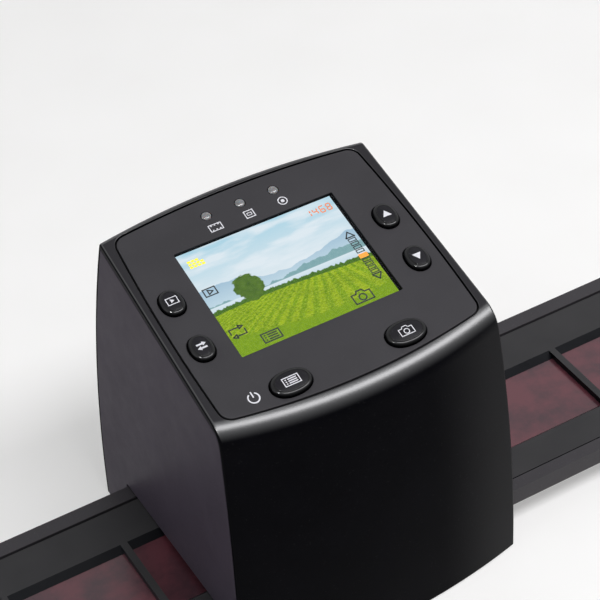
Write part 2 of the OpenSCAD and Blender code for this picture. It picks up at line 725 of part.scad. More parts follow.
sensor_board_w = 30;
sensor_board_t = 1.6;
sensor_board_top = sensor_z + sensor_board_t;
sensor_back = film_y + mount_w / 2 + 8;
jack_t = 1.6;
jack_d = 4;
sensor_jack_y = sensor_back - 3;
module sensor_board() color("#1f5f3a") difference() {
    union() {
        translate([-sensor_board_w / 2, film_y - mount_w / 2 - 1, sensor_z])
            cube([sensor_board_w, sensor_back - film_y + mount_w / 2 + 1, sensor_board_t]);
        translate([-sensor_plug[2] / 2, sensor_jack_y - jack_d / 2, sensor_board_top - eps])
            cube([sensor_plug[2], jack_d, jack_t + eps]);
    }
    for (p = mount_screws) translate([p[0], p[1], sensor_z - 1])
        cylinder(r = hole_r, h = sensor_board_t + 2, $fn = 32);
}
sensor_screw_l = sensor_board_top - mount_z + tunnel_flange_t - 0.4;
module sensor_screws() color("#9a9ba0") for (p = mount_screws)
    translate([p[0], p[1], sensor_board_top]) pan_screw(screw_r, sensor_screw_l, head_r, head_t);

// Board at the back with the data and card sockets
socket_board_w = 2 * (socket_post_x + boss_r + 1);
card_body_w = card_w + 3;
card_body_l = 28;
card_body_h = card_h + 2 * metal_t;
data_l = 9;
socket_board_front = card_y - card_body_l - 1;
socket_jack_y = socket_board_front + 3;
socket_board_back = back_inner(socket_board_w / 2, socket_z + 4) - 0.5;
module socket_board() color("#1f5f3a") difference() {
    union() {
        translate([-socket_board_w / 2, socket_board_front, socket_z])
            cube([socket_board_w, socket_board_back - socket_board_front, socket_t]);
        translate([socket_plug[0] - socket_plug[2] / 2, socket_jack_y - jack_d / 2, socket_top - eps])
            cube([socket_plug[2], jack_d, jack_t + eps]);
    }
    for (p = socket_posts) translate([p[0], p[1], socket_z - 1])
        cylinder(r = hole_r, h = socket_t + 2, $fn = 32);
}
module data_socket() color("#c3c4c8") difference() {
    translate([data_x - data_w / 2, data_y - data_l, socket_top]) cube([data_w, data_l, data_h]);
    translate([data_x - data_w / 2 + metal_t, data_y - data_l + 1, socket_top + metal_t])
        cube([data_w - 2 * metal_t, data_l, data_h - 2 * metal_t]);
}
module card_socket() color("#b9babf") difference() {
    translate([card_x - card_body_w / 2, card_y - card_body_l, socket_top])
        cube([card_body_w, card_body_l, card_body_h]);
    translate([card_x - card_w / 2, card_y - card_body_l + 2, socket_top + metal_t])
        cube([card_w, card_body_l, card_h]);
}
module socket_screws() color("#9a9ba0") for (p = socket_posts)
    translate([p[0], p[1], socket_top]) pan_screw(screw_r, socket_t + 6, head_r, head_t);

// Flat ribbons between the boards: up from a socket and into the main board's underside
ribbon_t = 0.4;
function under_board(v) = [
    v * cos(panel_tilt) + (board_bottom + jack_t) * sin(panel_tilt),
    panel_h + v * sin(panel_tilt) - (board_bottom + jack_t) * cos(panel_tilt)
];
module ribbon(y, z, v, width, x) {
    top = under_board(v);
    knee = top[1] - 6;
    flat_cable([
        [y, z], [y + ribbon_t, z], [y + ribbon_t, knee],
        [top[0] + ribbon_t, top[1] + ribbon_t * tan(panel_tilt)], top, [y, knee]
    ], width, x);
}
module sensor_ribbon() color("#c9c2b2")
    ribbon(sensor_jack_y, sensor_board_top + jack_t, sensor_plug[1], sensor_plug[2] - 2, 0);
module socket_ribbon() color("#c9c2b2")
    ribbon(socket_jack_y, socket_top + jack_t, socket_plug[1], socket_plug[2] - 2, socket_plug[0]);

// Film holder: a tray with a rim, a hinged cover inside the rim, and the film between them
tray_t = holder_t - cover_t;
back_rim = 5.1;
front_rim = 4;
cover_gap = 0.3;
back_groove = 1;
film_l = frames * frame_pitch;
film_end_gap = 0.7;
holder_l = film_l + 2 * (film_end_gap + cover_gap + end_rim);
holder_front = holder_y - holder_w / 2;
holder_back = holder_y + holder_w / 2;
cover_front = holder_front + front_rim + cover_gap;
cover_back = holder_back - back_rim - back_groove;
cover_l = holder_l - 2 * end_rim - 2 * cover_gap;
tray_top = holder_z + tray_t;
holder_top = holder_z + holder_t;
film_rest = tray_top - film_t - 0.02;
notch_r = bump_r + 0.25;
pin_r = 0.6;
pin_l = 8;
pin_cap = 0.8;
pin_y = cover_back - 1.6;
pin_z = tray_top + cover_t / 2;
tab_w = 9;
tab_reach = 0.7;
function frame_x(i) = holder_x + (i - (frames - 1) / 2) * frame_pitch;

// Pin across the end rim's inner face at both ends of the cover, radius r and length l
module end_pins(r, l) {
    translate([holder_x, pin_y, pin_z]) for (s = [-1, 1])
        translate([s * (holder_l / 2 - pin_cap - pin_l / 2), 0, 0]) rotate([0, 90, 0])
            cylinder(r = r, h = l, center = true, $fn = 32);
}

module holder_base() color("#4a4548") difference() {
    translate([holder_x - holder_l / 2, holder_front, holder_z]) cube([holder_l, holder_w, holder_t]);
    translate([holder_x - cover_l / 2 - cover_gap, holder_front + front_rim, tray_top])
        cube([cover_l + 2 * cover_gap, holder_w - front_rim - back_rim, holder_t]);
    translate([holder_x - film_l / 2 - 0.5, film_y - film_w / 2 - 0.15, film_rest])
        cube([film_l + 1, film_w + 0.3, holder_t]);
    for (i = [0:frames - 1]) translate([frame_x(i) - frame_l / 2, film_y - frame_h / 2, holder_z - 1])
        cube([frame_l, frame_h, holder_t]);
    for (i = [0:frames - 1]) translate([frame_x(i), holder_back - bump_reach + bump_r - 0.1, holder_z - 1])
        cylinder(r = notch_r, h = spring_z + spring_h + 1.3 - holder_z, $fn = 32);
    for (i = [0, frames / 2, frames - 1])
        translate([frame_x(i) - tab_w / 2 - 0.3, cover_front - cover_gap - tab_reach - 0.2, tray_top])
            cube([tab_w + 0.6, tab_reach + 1, cover_t / 2 + 0.3]);
    end_pins(pin_r + 0.05, pin_l + 0.1);
}

bevel = 2;
module holder_cover() color("#454044") difference() {
    union() {
        translate([holder_x - cover_l / 2, cover_front, tray_top])
            cube([cover_l, cover_back - cover_front, cover_t]);
        for (i = [0, frames / 2, frames - 1])
            translate([frame_x(i) - tab_w / 2, cover_front - cover_gap - tab_reach, tray_top + 0.2])
                cube([tab_w, tab_reach + 1, cover_t / 2 - 0.2]);
    }
    for (i = [0:frames - 1]) translate([frame_x(i), film_y, tray_top]) {
        cube([frame_l, frame_h, 4 * holder_t], center = true);
        rotate([90, 0, 90]) linear_extrude(height = frame_l, center = true)
            polygon([[-frame_h / 2, 0], [frame_h / 2, 0],
                     [frame_h / 2 + bevel, cover_t + eps], [-frame_h / 2 - bevel, cover_t + eps]]);
    }
    end_pins(pin_r + 0.05, pin_l + 0.1);
}

module hinge_pins() color("#a9aaae") end_pins(pin_r, pin_l);

// Film strip with its two rows of sprocket holes
sprocket_pitch = 4.75;
sprocket_y = 14.1;
sprocket = [2.8, 1.98];
module film_strip() color("#7a3b2b") translate([holder_x, film_y, film_rest + 0.01])
    linear_extrude(height = film_t) difference() {
        square([film_l, film_w], center = true);
        for (i = [1:film_l / sprocket_pitch - 1]) for (s = [-1, 1])
            translate([-film_l / 2 + i * sprocket_pitch, s * sprocket_y])
                square([sprocket[1], sprocket[0]], center = true);
    }

main_shell();
left_cheek();
right_cheek();
base_plate();
rubber_feet();
base_screws();
faceplate();
display_window();
lcd_panel();
display_frame();
main_board();
board_screws();
main_chips();
tact_switches();
indicator_lights();
play_button();
flip_button();
up_button();
down_button();
menu_button();
shutter_button();
lower_track();
light_tunnel();
track_screws();
detent_spring();
backlight_box();
led_board();
backlight_leds();
diffuser();
backlight_cable();
lens_mount();
lens_barrel();
lens_elements();
image_sensor();
sensor_board();
sensor_screws();
socket_board();
data_socket();
card_socket();
socket_screws();
sensor_ribbon();
socket_ribbon();
holder_base();
holder_cover();
hinge_pins();
film_strip();
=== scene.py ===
import json
import math
from functools import partial

import bmesh
import bpy
from mathutils import Matrix, Vector

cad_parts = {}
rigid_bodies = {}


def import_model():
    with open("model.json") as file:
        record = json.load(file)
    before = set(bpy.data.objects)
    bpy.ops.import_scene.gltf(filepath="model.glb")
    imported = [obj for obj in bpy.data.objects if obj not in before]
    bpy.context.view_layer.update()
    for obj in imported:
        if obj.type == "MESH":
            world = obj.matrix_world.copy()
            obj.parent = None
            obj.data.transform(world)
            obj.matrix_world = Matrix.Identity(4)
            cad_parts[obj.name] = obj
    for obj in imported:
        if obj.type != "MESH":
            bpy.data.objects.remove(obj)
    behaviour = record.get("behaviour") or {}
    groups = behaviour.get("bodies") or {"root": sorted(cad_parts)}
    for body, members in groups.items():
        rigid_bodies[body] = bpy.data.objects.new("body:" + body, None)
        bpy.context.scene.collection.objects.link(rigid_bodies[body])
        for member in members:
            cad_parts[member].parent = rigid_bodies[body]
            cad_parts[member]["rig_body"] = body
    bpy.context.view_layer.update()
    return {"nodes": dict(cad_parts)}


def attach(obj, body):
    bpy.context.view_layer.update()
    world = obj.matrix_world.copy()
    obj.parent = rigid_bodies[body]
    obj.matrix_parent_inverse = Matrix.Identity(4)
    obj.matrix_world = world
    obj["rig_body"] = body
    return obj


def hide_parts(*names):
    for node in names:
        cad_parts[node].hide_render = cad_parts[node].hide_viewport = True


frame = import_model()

# Lengths are in millimetres up to finish_mesh(), which writes metres.
MM = 0.001
TILT = math.radians(15)
COS, SIN = math.cos(TILT), math.sin(TILT)
PANEL_H = 97.0
HOUSING_W, HOUSING_D = 92.0, 86.0
FRONT_BOW_R, BACK_BOW_R = 200.0, 240.0
SIDE_DRAW, SIDE_POWER = 3.6, 1.4
FRONT_DRAW, BACK_DRAW, BELL_POWER = 9.1, 10.9, 2.3
ROLL_R, EDGE_R = 8.0, 1.6
BELOW = -14.0
WALL, CHEEK_T, SEAM = 2.2, 2.2, 0.15
RIM, RIM_DROP = 0.9, 1.9
SHELF = 3.0
FOOT_PROUD = 0.8
SKIN = 0.02
PLATE_T = 1.2
PLATE_GAP = 0.45
DISPLAY_X = -0.8
WINDOW = (50.1, 38.0)
SHARP = math.radians(32)
SEARCH_ROUNDS = 4


# ---- The housing's own lines, as the CAD source draws them


def sag(radius, x):
    """How far a bow of that radius has come in at the distance x from its middle."""
    return radius - math.sqrt(radius * radius - x * x)


FRONT_SAG = sag(FRONT_BOW_R, HOUSING_W / 2)
BACK_SAG = sag(BACK_BOW_R, HOUSING_W / 2)


def rise(z):
    return max(z, 0.0) / PANEL_H


def side_x(z):
    """X of the right side's skin at that height."""
    return HOUSING_W / 2 - SIDE_DRAW * rise(z) ** SIDE_POWER


def front_y(z):
    """Y of the front's skin in the middle, at that height."""
    return -HOUSING_D / 2 + FRONT_DRAW * rise(z) ** BELL_POWER - FRONT_SAG


def back_y(z):
    return HOUSING_D / 2 - BACK_DRAW * rise(z) ** BELL_POWER + BACK_SAG


def in_panel(y, z):
    """A point of the middle section, in the control panel's frame."""
    return y * COS + (z - PANEL_H) * SIN, -y * SIN + (z - PANEL_H) * COS


def on_panel(u, v, w):
    """A point of the control panel's frame, in the object's frame."""
    return u, v * COS - w * SIN, PANEL_H + v * SIN + w * COS


def mid_front(z):
    return in_panel(front_y(z), z)


def mid_back(z):
    return in_panel(back_y(z), z)


def lean(draw, z):
    """Angle by which a wall with that draw leans inwards at that height."""
    return math.atan(draw * BELL_POWER / PANEL_H * rise(z) ** (BELL_POWER - 1))


def front_turn(z):
    """Turn from the panel to the front at that height."""
    return math.pi / 2 - lean(FRONT_DRAW, z) - TILT


def back_turn(z):
    """Turn from the panel to the back at that height."""
    return math.pi / 2 - lean(BACK_DRAW, z) + TILT


def roll_z(z):
    """Height at which the front wall meets the roll, from a nearby height."""
    return PANEL_H + (-ROLL_R * (1 - math.cos(front_turn(z))) + front_y(z) * SIN) / COS


def edge_z(z):
    """Height at which the back wall meets the back edge, from a nearby height."""
    return PANEL_H + (-EDGE_R * (1 - math.cos(back_turn(z))) + back_y(z) * SIN) / COS


NEAR_ROLL = 0.84 * PANEL_H
ROLL_FOOT = roll_z(roll_z(NEAR_ROLL))
EDGE_FOOT = edge_z(edge_z(PANEL_H))
ROLL_V = mid_front(ROLL_FOOT)[0] + ROLL_R * math.sin(front_turn(ROLL_FOOT))
EDGE_V = mid_back(EDGE_FOOT)[0] - EDGE_R * math.sin(back_turn(EDGE_FOOT))
FRONT_AXIS = mid_front(BELOW)[0] + FRONT_BOW_R
BACK_AXIS = mid_back(BELOW)[0] - BACK_BOW_R


def bowed_front(v, x):
    """The place v of the middle section, along the front's bow at the sideways place x."""
    return v + sag(FRONT_AXIS - v, x)


def bowed_back(v, x):
    return v - sag(v - BACK_AXIS, x)


def lerp(a, b, f):
    return a + (b - a) * f


# Rows run sideways over the housing's skin. Each function gives (v, w) at the sideways place x, inset
# from the skin, on the row that lies at the share f of its part of the housing.


def front_row(f, x, inset):
    """The front wall: f is 0 at the bottom edge and 1 at the roll."""
    low = FOOT_PROUD - sag(FRONT_AXIS - mid_front(FOOT_PROUD)[0], x) * SIN
    z = lerp(low, ROLL_FOOT, f)
    v, w = mid_front(z)
    turn = front_turn(z)
    return bowed_front(v + inset * math.sin(turn), x), w - inset * math.cos(turn)


def roll_row(f, x, inset):
    """The roll: f is 0 at the front wall and 1 at the panel."""
    turn = front_turn(ROLL_FOOT) * (1 - f)
    radius = ROLL_R - inset
    return bowed_front(ROLL_V - radius * math.sin(turn), x), radius * math.cos(turn) - ROLL_R


def top_row(f, x, inset):
    """The flat top: f is 0 at the roll and 1 at the back edge."""
    return lerp(bowed_front(ROLL_V, x), bowed_back(EDGE_V, x), f), -inset


def edge_row(f, x, inset):
    """The back edge: f is 0 at the panel and 1 at the back wall."""
    turn = back_turn(EDGE_FOOT) * f
    radius = EDGE_R - inset
    return bowed_back(EDGE_V + radius * math.sin(turn), x), radius * math.cos(turn) - EDGE_R


def back_row(f, x, inset):
    """The back wall: f is 0 at the back edge and 1 at the bottom edge."""
    low = FOOT_PROUD + sag(mid_back(FOOT_PROUD)[0] - BACK_AXIS, x) * SIN
    z = lerp(EDGE_FOOT, low, f)
    v, w = mid_back(z)
    turn = back_turn(z)
    return bowed_back(v - inset * math.sin(turn), x), w - inset * math.cos(turn)


def share(count, first=0):
    """Even shares from 0 to 1 in that many steps, without the first ones."""
    return [i / count for i in range(first, count + 1)]


# The parts of the housing with their counts of steps
PARTS = ((front_row, 28), (roll_row, 16), (top_row, 18), (edge_row, 6), (back_row, 28))
ROWS = [partial(front_row, 0.0)] + [partial(part, f) for part, count in PARTS for f in share(count, 1)]


def at_side(row, inset, limit, indent=0.0):
    """Where the row, moved in by inset and held under w = limit, meets the leaning side: (x, v, w)."""
    x = HOUSING_W / 2
    for _ in range(SEARCH_ROUNDS):
        v, w = row(max(x - indent, 0.0), inset)
        w = min(w, limit)
        x = side_x(PANEL_H + v * SIN + w * COS)
    return x, v, w


# ---- Meshes


def finish_mesh(bm, name, material, body=None, node=None):
    """Turns a bmesh in millimetres into a piece on its body. A cutter and the floor have none."""
    bmesh.ops.recalc_face_normals(bm, faces=bm.faces)
    bmesh.ops.scale(bm, vec=(MM, MM, MM), verts=bm.verts)
    mesh = bpy.data.meshes.new(name)
    bm.to_mesh(mesh)
    bm.free()
    mesh.shade_smooth()
    mesh.set_sharp_from_angle(angle=SHARP)
    mesh.materials.append(material)
    piece = bpy.data.objects.new(name, mesh)
    bpy.context.scene.collection.objects.link(piece)
    if body:
        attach(piece, body)
    if node:
        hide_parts(node)
    return piece


def weigh_normals(piece):
    modifier = piece.modifiers.new("even_normals", "WEIGHTED_NORMAL")
    modifier.keep_sharp = True
    modifier.weight = 80


def ring_faces(bm, low, high):
    count = len(low)
    for i in range(count):
        bm.faces.new((low[i], low[(i + 1) % count], high[(i + 1) % count], high[i]))


def add_solid(bm, outlines, place):
    """Adds a closed solid. outlines holds (line, levels) for the outline and for each hole; line(grow)
    gives the points of the line grown by grow, and levels are (grow, height) from one end to the other."""
    ends = ([], [])
    for line, levels in outlines:
        rings = [[bm.verts.new(place(a, b, h)) for a, b in line(grow)] for grow, h in levels]
        for low, high in zip(rings, rings[1:]):
            ring_faces(bm, low, high)
        ends[0].append(rings[0])
        ends[1].append(rings[-1])
    for end in ends:
        if len(end) == 1:
            bm.faces.new(end[0])
            continue
        edges = [bm.edges.get((r[i], r[(i + 1) % len(r)])) for r in end for i in range(len(r))]
        bmesh.ops.triangle_fill(bm, use_beauty=True, use_dissolve=False, edges=edges)


def cut(piece, solids):
    """Takes closed solids, each (line, levels, place), out of the piece."""
    bm = bmesh.new()
    for line, levels, place in solids:
        add_solid(bm, [(line, levels)], place)
    cutter = finish_mesh(bm, "cutter", piece.data.materials[0])
    modifier = piece.modifiers.new("cut", "BOOLEAN")
    modifier.operation = "DIFFERENCE"
    modifier.solver = "EXACT"
    modifier.object = cutter
    graph = bpy.context.evaluated_depsgraph_get()
    mesh = bpy.data.meshes.new_from_object(piece.evaluated_get(graph))
    piece.modifiers.clear()
    piece.data = mesh
    bpy.data.objects.remove(cutter)


def panel_piece(name, solids, material, body, node=None):
    """A piece of closed solids that stand on the panel, each a list of outlines with levels."""
    bm = bmesh.new()
    for outlines in solids:
        add_solid(bm, outlines, on_panel)
    return finish_mesh(bm, name, material, body, node)


def quarter(steps, first=0):
    """Even angles of a quarter turn, without the first ones."""
    return [math.pi / 2 * i / steps for i in range(first, steps + 1)]


ROUND_STEPS = 3


def round_levels(low, high, radius, sign=1):
    """Levels from low to high with both ends rounded. sign is 1 for an outline and -1 for a hole."""
    foot = [(-sign * radius * (1 - math.sin(t)), radius * (1 - math.cos(t))) for t in quarter(ROUND_STEPS)]
    return [(g, low + h) for g, h in foot] + [(g, high - h) for g, h in reversed(foot)]


def arcs(*parts):
    """A closed line of arcs (x, y, radius, first angle, last angle, steps), in degrees."""

    def line(grow=0.0):
        points = []
        for x, y, radius, first, last, steps in parts:
            for f in share(steps):
                a = math.radians(lerp(first, last, f))
                points.append((x + (radius + grow) * math.cos(a), y + (radius + grow) * math.sin(a)))
        return points

    return line


def circle(x, y, radius, steps=32):
    return arcs((x, y, radius, 0, 360 - 360 / steps, steps - 1))


def rounded_box(x, y, w, h, radius, steps=4):
    left, right = x - w / 2 + radius, x + w / 2 - radius
    low, top = y - h / 2 + radius, y + h / 2 - radius
    corners = ((right, low, -90), (right, top, 0), (left, top, 90), (left, low, 180))
    return arcs(*[(a, b, radius, turn, turn + 90, steps) for a, b, turn in corners])


OVAL_POWER, OVAL_STEPS = 2.2, 72


def fuller(f):
    """A sine or cosine, raised so that the circle swells towards a box."""
    return math.copysign(abs(f) ** (2 / OVAL_POWER), f)


def oval(x, y, half_x, half_y):
    """A closed line between an ellipse and a box."""

    def line(grow=0.0):
        points = []
        for i in range(OVAL_STEPS):
            a = 2 * math.pi * i / OVAL_STEPS
            across, along = fuller(math.cos(a)), fuller(math.sin(a))
            points.append((x + (half_x + grow) * across, y + (half_y + grow) * along))
        return points

    return line


def as_given(a, b, h):
    return a, b, h


def polygon(*points):
    """A closed line through those points, whatever the growth."""
    return lambda grow=0.0: list(points)


PLATE_HALF, PLATE_FRONT, PLATE_BACK, PLATE_CORNER = 39.9, 38.0, 32.7, 3.5
PLATE_FRONT_R, PLATE_BACK_R, PLATE_SIDE_R, PLATE_SIDE_V = 205.0, 300.0, 520.0, -12.0
CORNER_STEPS, SIDE_STEPS, BACK_STEPS, FRONT_STEPS = 8, 10, 20, 28
# Degrees that each bow keeps from its corners, so that no point comes twice
NUDGE = 0.2


def between_bows(bow, side):
    """Centre of the corner arc that lies inside both bows, each (x, y, radius)."""
    (ax, ay, ar), (bx, by, br) = bow, side
    ar, br = ar - PLATE_CORNER, br - PLATE_CORNER
    gap = math.hypot(bx - ax, by - ay)
    along = (ar * ar - br * br + gap * gap) / (2 * gap)
    across = math.sqrt(ar * ar - along * along)
    ux, uy = (bx - ax) / gap, (by - ay) / gap
    spots = [(ax + along * ux - s * across * uy, ay + along * uy + s * across * ux) for s in (-1, 1)]
    return max(spots)


def plate_line():
    """The faceplate's outline: four bows with rounded corners."""
    front = (0.0, PLATE_FRONT_R - PLATE_FRONT, PLATE_FRONT_R)
    back = (0.0, PLATE_BACK - PLATE_BACK_R, PLATE_BACK_R)
    side = (PLATE_HALF - PLATE_SIDE_R, PLATE_SIDE_V, PLATE_SIDE_R)
    (low_x, low_y), (top_x, top_y) = between_bows(front, side), between_bows(back, side)

    def angle(x, y, bow):
        return math.degrees(math.atan2(y - bow[1], x - bow[0]))

    low_front, low_side = angle(low_x, low_y, front), angle(low_x, low_y, side)
    top_back, top_side = angle(top_x, top_y, back), angle(top_x, top_y, side)
    right = [
        (low_x, low_y, PLATE_CORNER, low_front, low_side, CORNER_STEPS),
        (*side, low_side + NUDGE, top_side - NUDGE, SIDE_STEPS),
        (top_x, top_y, PLATE_CORNER, top_side, top_back, CORNER_STEPS),
    ]
    left = [(-x, y, r, 180 - last, 180 - first, steps) for x, y, r, first, last, steps in right[::-1]]
    behind = (*back, top_back + NUDGE, 180 - top_back - NUDGE, BACK_STEPS)
    before = (*front, 180 - low_front + NUDGE, 360 + low_front - NUDGE, FRONT_STEPS)
    return arcs(*right, behind, *left, before)


# ---- Procedural materials


class Shade:
    """A node material, with short calls for the nodes that it is made of."""

    def __init__(self, name):
        self.material = bpy.data.materials.new(name)
        self.material.use_nodes = True
        self.tree = self.material.node_tree
        self.surface = self.tree.nodes["Principled BSDF"]
        self.out = self.tree.nodes["Material Output"]
        self.place = self.put("ShaderNodeTexCoord").outputs["Object"]

    def feed(self, socket, value):
        """Links the socket to another one, or sets it to a number, a vector or a colour."""
        if isinstance(value, bpy.types.NodeSocket):
            self.tree.links.new(value, socket)
        elif socket.type == "RGBA":
            socket.default_value = (*value, 1.0)
        else:
            socket.default_value = value

    def put(self, kind, settings=None, **inputs):
        node = self.tree.nodes.new(kind)
        for key, value in (settings or {}).items():
            setattr(node, key, value)
        for key, value in inputs.items():
            self.feed(node.inputs[key.replace("_", " ")], value)
        return node

    def maths(self, operation, a, b=0.0, clamp=False):
        node = self.put("ShaderNodeMath", {"operation": operation, "use_clamp": clamp})
        self.feed(node.inputs[0], a)
        self.feed(node.inputs[1], b)
        return node.outputs[0]

    def noise(self, size, detail, roughness=0.5, stretch=None):
        """Noise whose blotches are about that many millimetres."""
        place = self.place
        if stretch:
            place = self.put("ShaderNodeMapping", Vector=place, Scale=stretch).outputs[0]
        look = {"Scale": 1 / (size * MM), "Detail": detail, "Roughness": roughness}
        return self.put("ShaderNodeTexNoise", Vector=place, **look).outputs["Fac"]

    def between(self, value, low, high, to_low=0.0, to_high=1.0, smooth=False):
        """The value's range from low to high, mapped to another range and held inside it."""
        kind = "SMOOTHSTEP" if smooth else "LINEAR"
        node = self.put("ShaderNodeMapRange", {"interpolation_type": kind}, Value=value)
        for key, number in (("From Min", low), ("From Max", high), ("To Min", to_low), ("To Max", to_high)):
            self.feed(node.inputs[key], number)
        return node.outputs[0]

    def patches(self, size, detail, to_low=0.0, to_high=1.0):
        """Soft-edged patches about that many millimetres wide."""
        return self.between(self.noise(size, detail), 0.3, 0.7, to_low, to_high)

    def smudges(self, to_low, to_high):
        """Wiped patches of gloss."""
        return self.between(self.noise(7.0, 4.0, roughness=0.65), 0.3, 0.75, to_low, to_high)

    def mix(self, factor, a, b):
        node = self.put("ShaderNodeMix", {"data_type": "RGBA"})
        self.feed(node.inputs[0], factor)
        self.feed(node.inputs[6], a)
        self.feed(node.inputs[7], b)
        return node.outputs[2]

    def bump(self, height, depth, strength=1.0):
        """Bumps depth millimetres high."""
        node = self.put("ShaderNodeBump", Height=height, Distance=depth * MM, Strength=strength)
        self.feed(self.surface.inputs["Normal"], node.outputs[0])

    def set(self, **values):
        """Sets or links sockets of the surface shader."""
        for key, value in values.items():
            self.feed(self.surface.inputs[key.replace("_", " ")], value)


def scaled(color, f):
    return tuple(c * f for c in color)


DUST = (0.4, 0.4, 0.4)


def plastic(name, color, rough, specular=0.5, grain=0.25, depth=0.006, mottle=0.1, dust=0.04):
    """Moulded plastic: fine grain, faint blotches in colour and gloss, and a trace of dust."""
    shade = Shade(name)
    base = shade.mix(shade.patches(14.0, 3.0), scaled(color, 1 - mottle), scaled(color, 1 + mottle))
    specks = shade.between(shade.noise(0.6, 0.0), 0.72, 0.82, 0.0, dust)
    shade.set(Base_Color=shade.mix(specks, base, DUST), Specular_IOR_Level=specular)
    shade.set(Roughness=shade.smudges(rough * 0.88, min(rough * 1.12, 1.0)))
    shade.bump(shade.noise(grain, 2.0), depth)
    return shade.material


def metal(name, color, rough):
    """Plain drawn metal with fine streaks."""
    shade = Shade(name)
    streaks = shade.noise(0.9, 3.0, stretch=(1.0, 1.0, 14.0))
    shade.set(Base_Color=shade.mix(shade.patches(5.0, 3.0), scaled(color, 0.86), color), Metallic=1.0)
    shade.set(Roughness=shade.between(streaks, 0.3, 0.7, rough * 0.75, rough * 1.25))
    shade.bump(streaks, 0.003)
    return shade.material


CLEAR_IOR, CLEAR_ROUGH = 1.49, 0.03


def clear(name, tint, gloss):
    """Clear plastic or glass: what lies behind shows, under a reflection that grows at a slant."""
    shade = Shade(name)
    fresnel = shade.put("ShaderNodeFresnel", IOR=CLEAR_IOR).outputs[0]
    smudge = shade.between(shade.noise(6.0, 4.0, roughness=0.7), 0.3, 0.8, CLEAR_ROUGH, CLEAR_ROUGH * 3)
    shine = shade.put("ShaderNodeBsdfGlossy", Color=(1.0, 1.0, 1.0), Roughness=smudge)
    front = shade.maths("SUBTRACT", 1.0, shade.put("ShaderNodeNewGeometry").outputs["Backfacing"])
    through = shade.put("ShaderNodeBsdfTransparent", Color=tint)
    mixer = shade.put("ShaderNodeMixShader")
    reflected = shade.maths("MULTIPLY", fresnel, gloss, clamp=True)
    shade.feed(mixer.inputs[0], shade.maths("MULTIPLY", reflected, front))
    shade.feed(mixer.inputs[1], through.outputs[0])
    shade.feed(mixer.inputs[2], shine.outputs[0])
    shade.feed(shade.out.inputs["Surface"], mixer.outputs[0])
    return shade.material


def light_print(name, color, glow=0.0):
    """Printed ink, or a lit mark on the display."""
    shade = Shade(name)
    wear = shade.noise(0.5, 2.0)
    ink = shade.mix(shade.between(wear, 0.25, 0.75), scaled(color, 0.88), color)
    shade.set(Base_Color=ink, Roughness=shade.between(wear, 0.2, 0.8, 0.5, 0.62))
    if glow:
        shade.set(Emission_Color=ink, Emission_Strength=glow)
    return shade.material


PANEL_NORMAL = (0.0, -SIN, COS)


def facing(shade, direction, low, high):
    """1 where the surface faces that way, 0 where it has turned away."""
    normal = shade.put("ShaderNodeTexCoord").outputs["Normal"]
    along = shade.put("ShaderNodeVectorMath", {"operation": "DOT_PRODUCT"})
    shade.feed(along.inputs[0], normal)
    shade.feed(along.inputs[1], direction)
    return shade.between(along.outputs["Value"], low, high, smooth=True)


def shell_material():
    """Black housing plastic: matt on the flat top, with a lighter colour there as painted sheen from the
    light above, glossy on the roll and satin on the walls, with a faint gloss on the back and at the
    right end of the front's bow."""
    shade = Shade("shell")
    top = facing(shade, PANEL_NORMAL, 0.985, 0.998)
    grain = shade.noise(0.2, 2.0)
    walls = shade.mix(shade.patches(14.0, 3.0), (0.0013, 0.0013, 0.002), (0.002, 0.002, 0.003))
    # Painted sheen: the flat top's colour is far lighter than the walls', standing in for light from above
    painted_sheen_top = shade.mix(grain, (0.029, 0.028, 0.031), (0.037, 0.036, 0.039))
    specks = shade.between(shade.noise(0.6, 0.0), 0.74, 0.82, 0.0, 0.012)
    shade.set(Base_Color=shade.mix(specks, shade.mix(top, walls, painted_sheen_top), DUST))
    rough = shade.between(top, 0.0, 1.0, 0.36, 0.55)
    shade.set(Roughness=shade.maths("ADD", rough, shade.smudges(-0.03, 0.03)))
    not_top = shade.maths("SUBTRACT", 1.0, top)
    roll = shade.maths("MULTIPLY", facing(shade, PANEL_NORMAL, 0.64, 0.95), not_top)
    back = shade.maths("MULTIPLY", facing(shade, (0.0, 1.0, 0.0), 0.2, 0.7), 0.3)
    right = shade.maths("MULTIPLY", facing(shade, (1.0, -0.1, 0.0), 0.18, 0.32), 0.13)
    shade.set(Coat_Weight=shade.maths("MAXIMUM", shade.maths("MAXIMUM", roll, back), right))
    shade.set(Coat_Roughness=0.28, Coat_IOR=1.7, Specular_IOR_Level=0.02)
    shade.bump(grain, 0.004)
    return shade.material


def key_material():
    """Deep black gloss, polished on the lip round the top."""
    shade = Shade("key_gloss")
    blotches = shade.patches(3.0, 2.0)
    shade.set(Base_Color=shade.mix(blotches, (0.0014, 0.0014, 0.0018), (0.0022, 0.0022, 0.0026)))
    shade.set(Roughness=shade.patches(2.0, 3.0, 0.14, 0.2))
    shade.set(Coat_Weight=shade.maths("MULTIPLY", facing(shade, PANEL_NORMAL, 0.6, 0.85), 0.55))
    shade.set(Coat_Roughness=0.16, Specular_IOR_Level=0.06)
    return shade.material


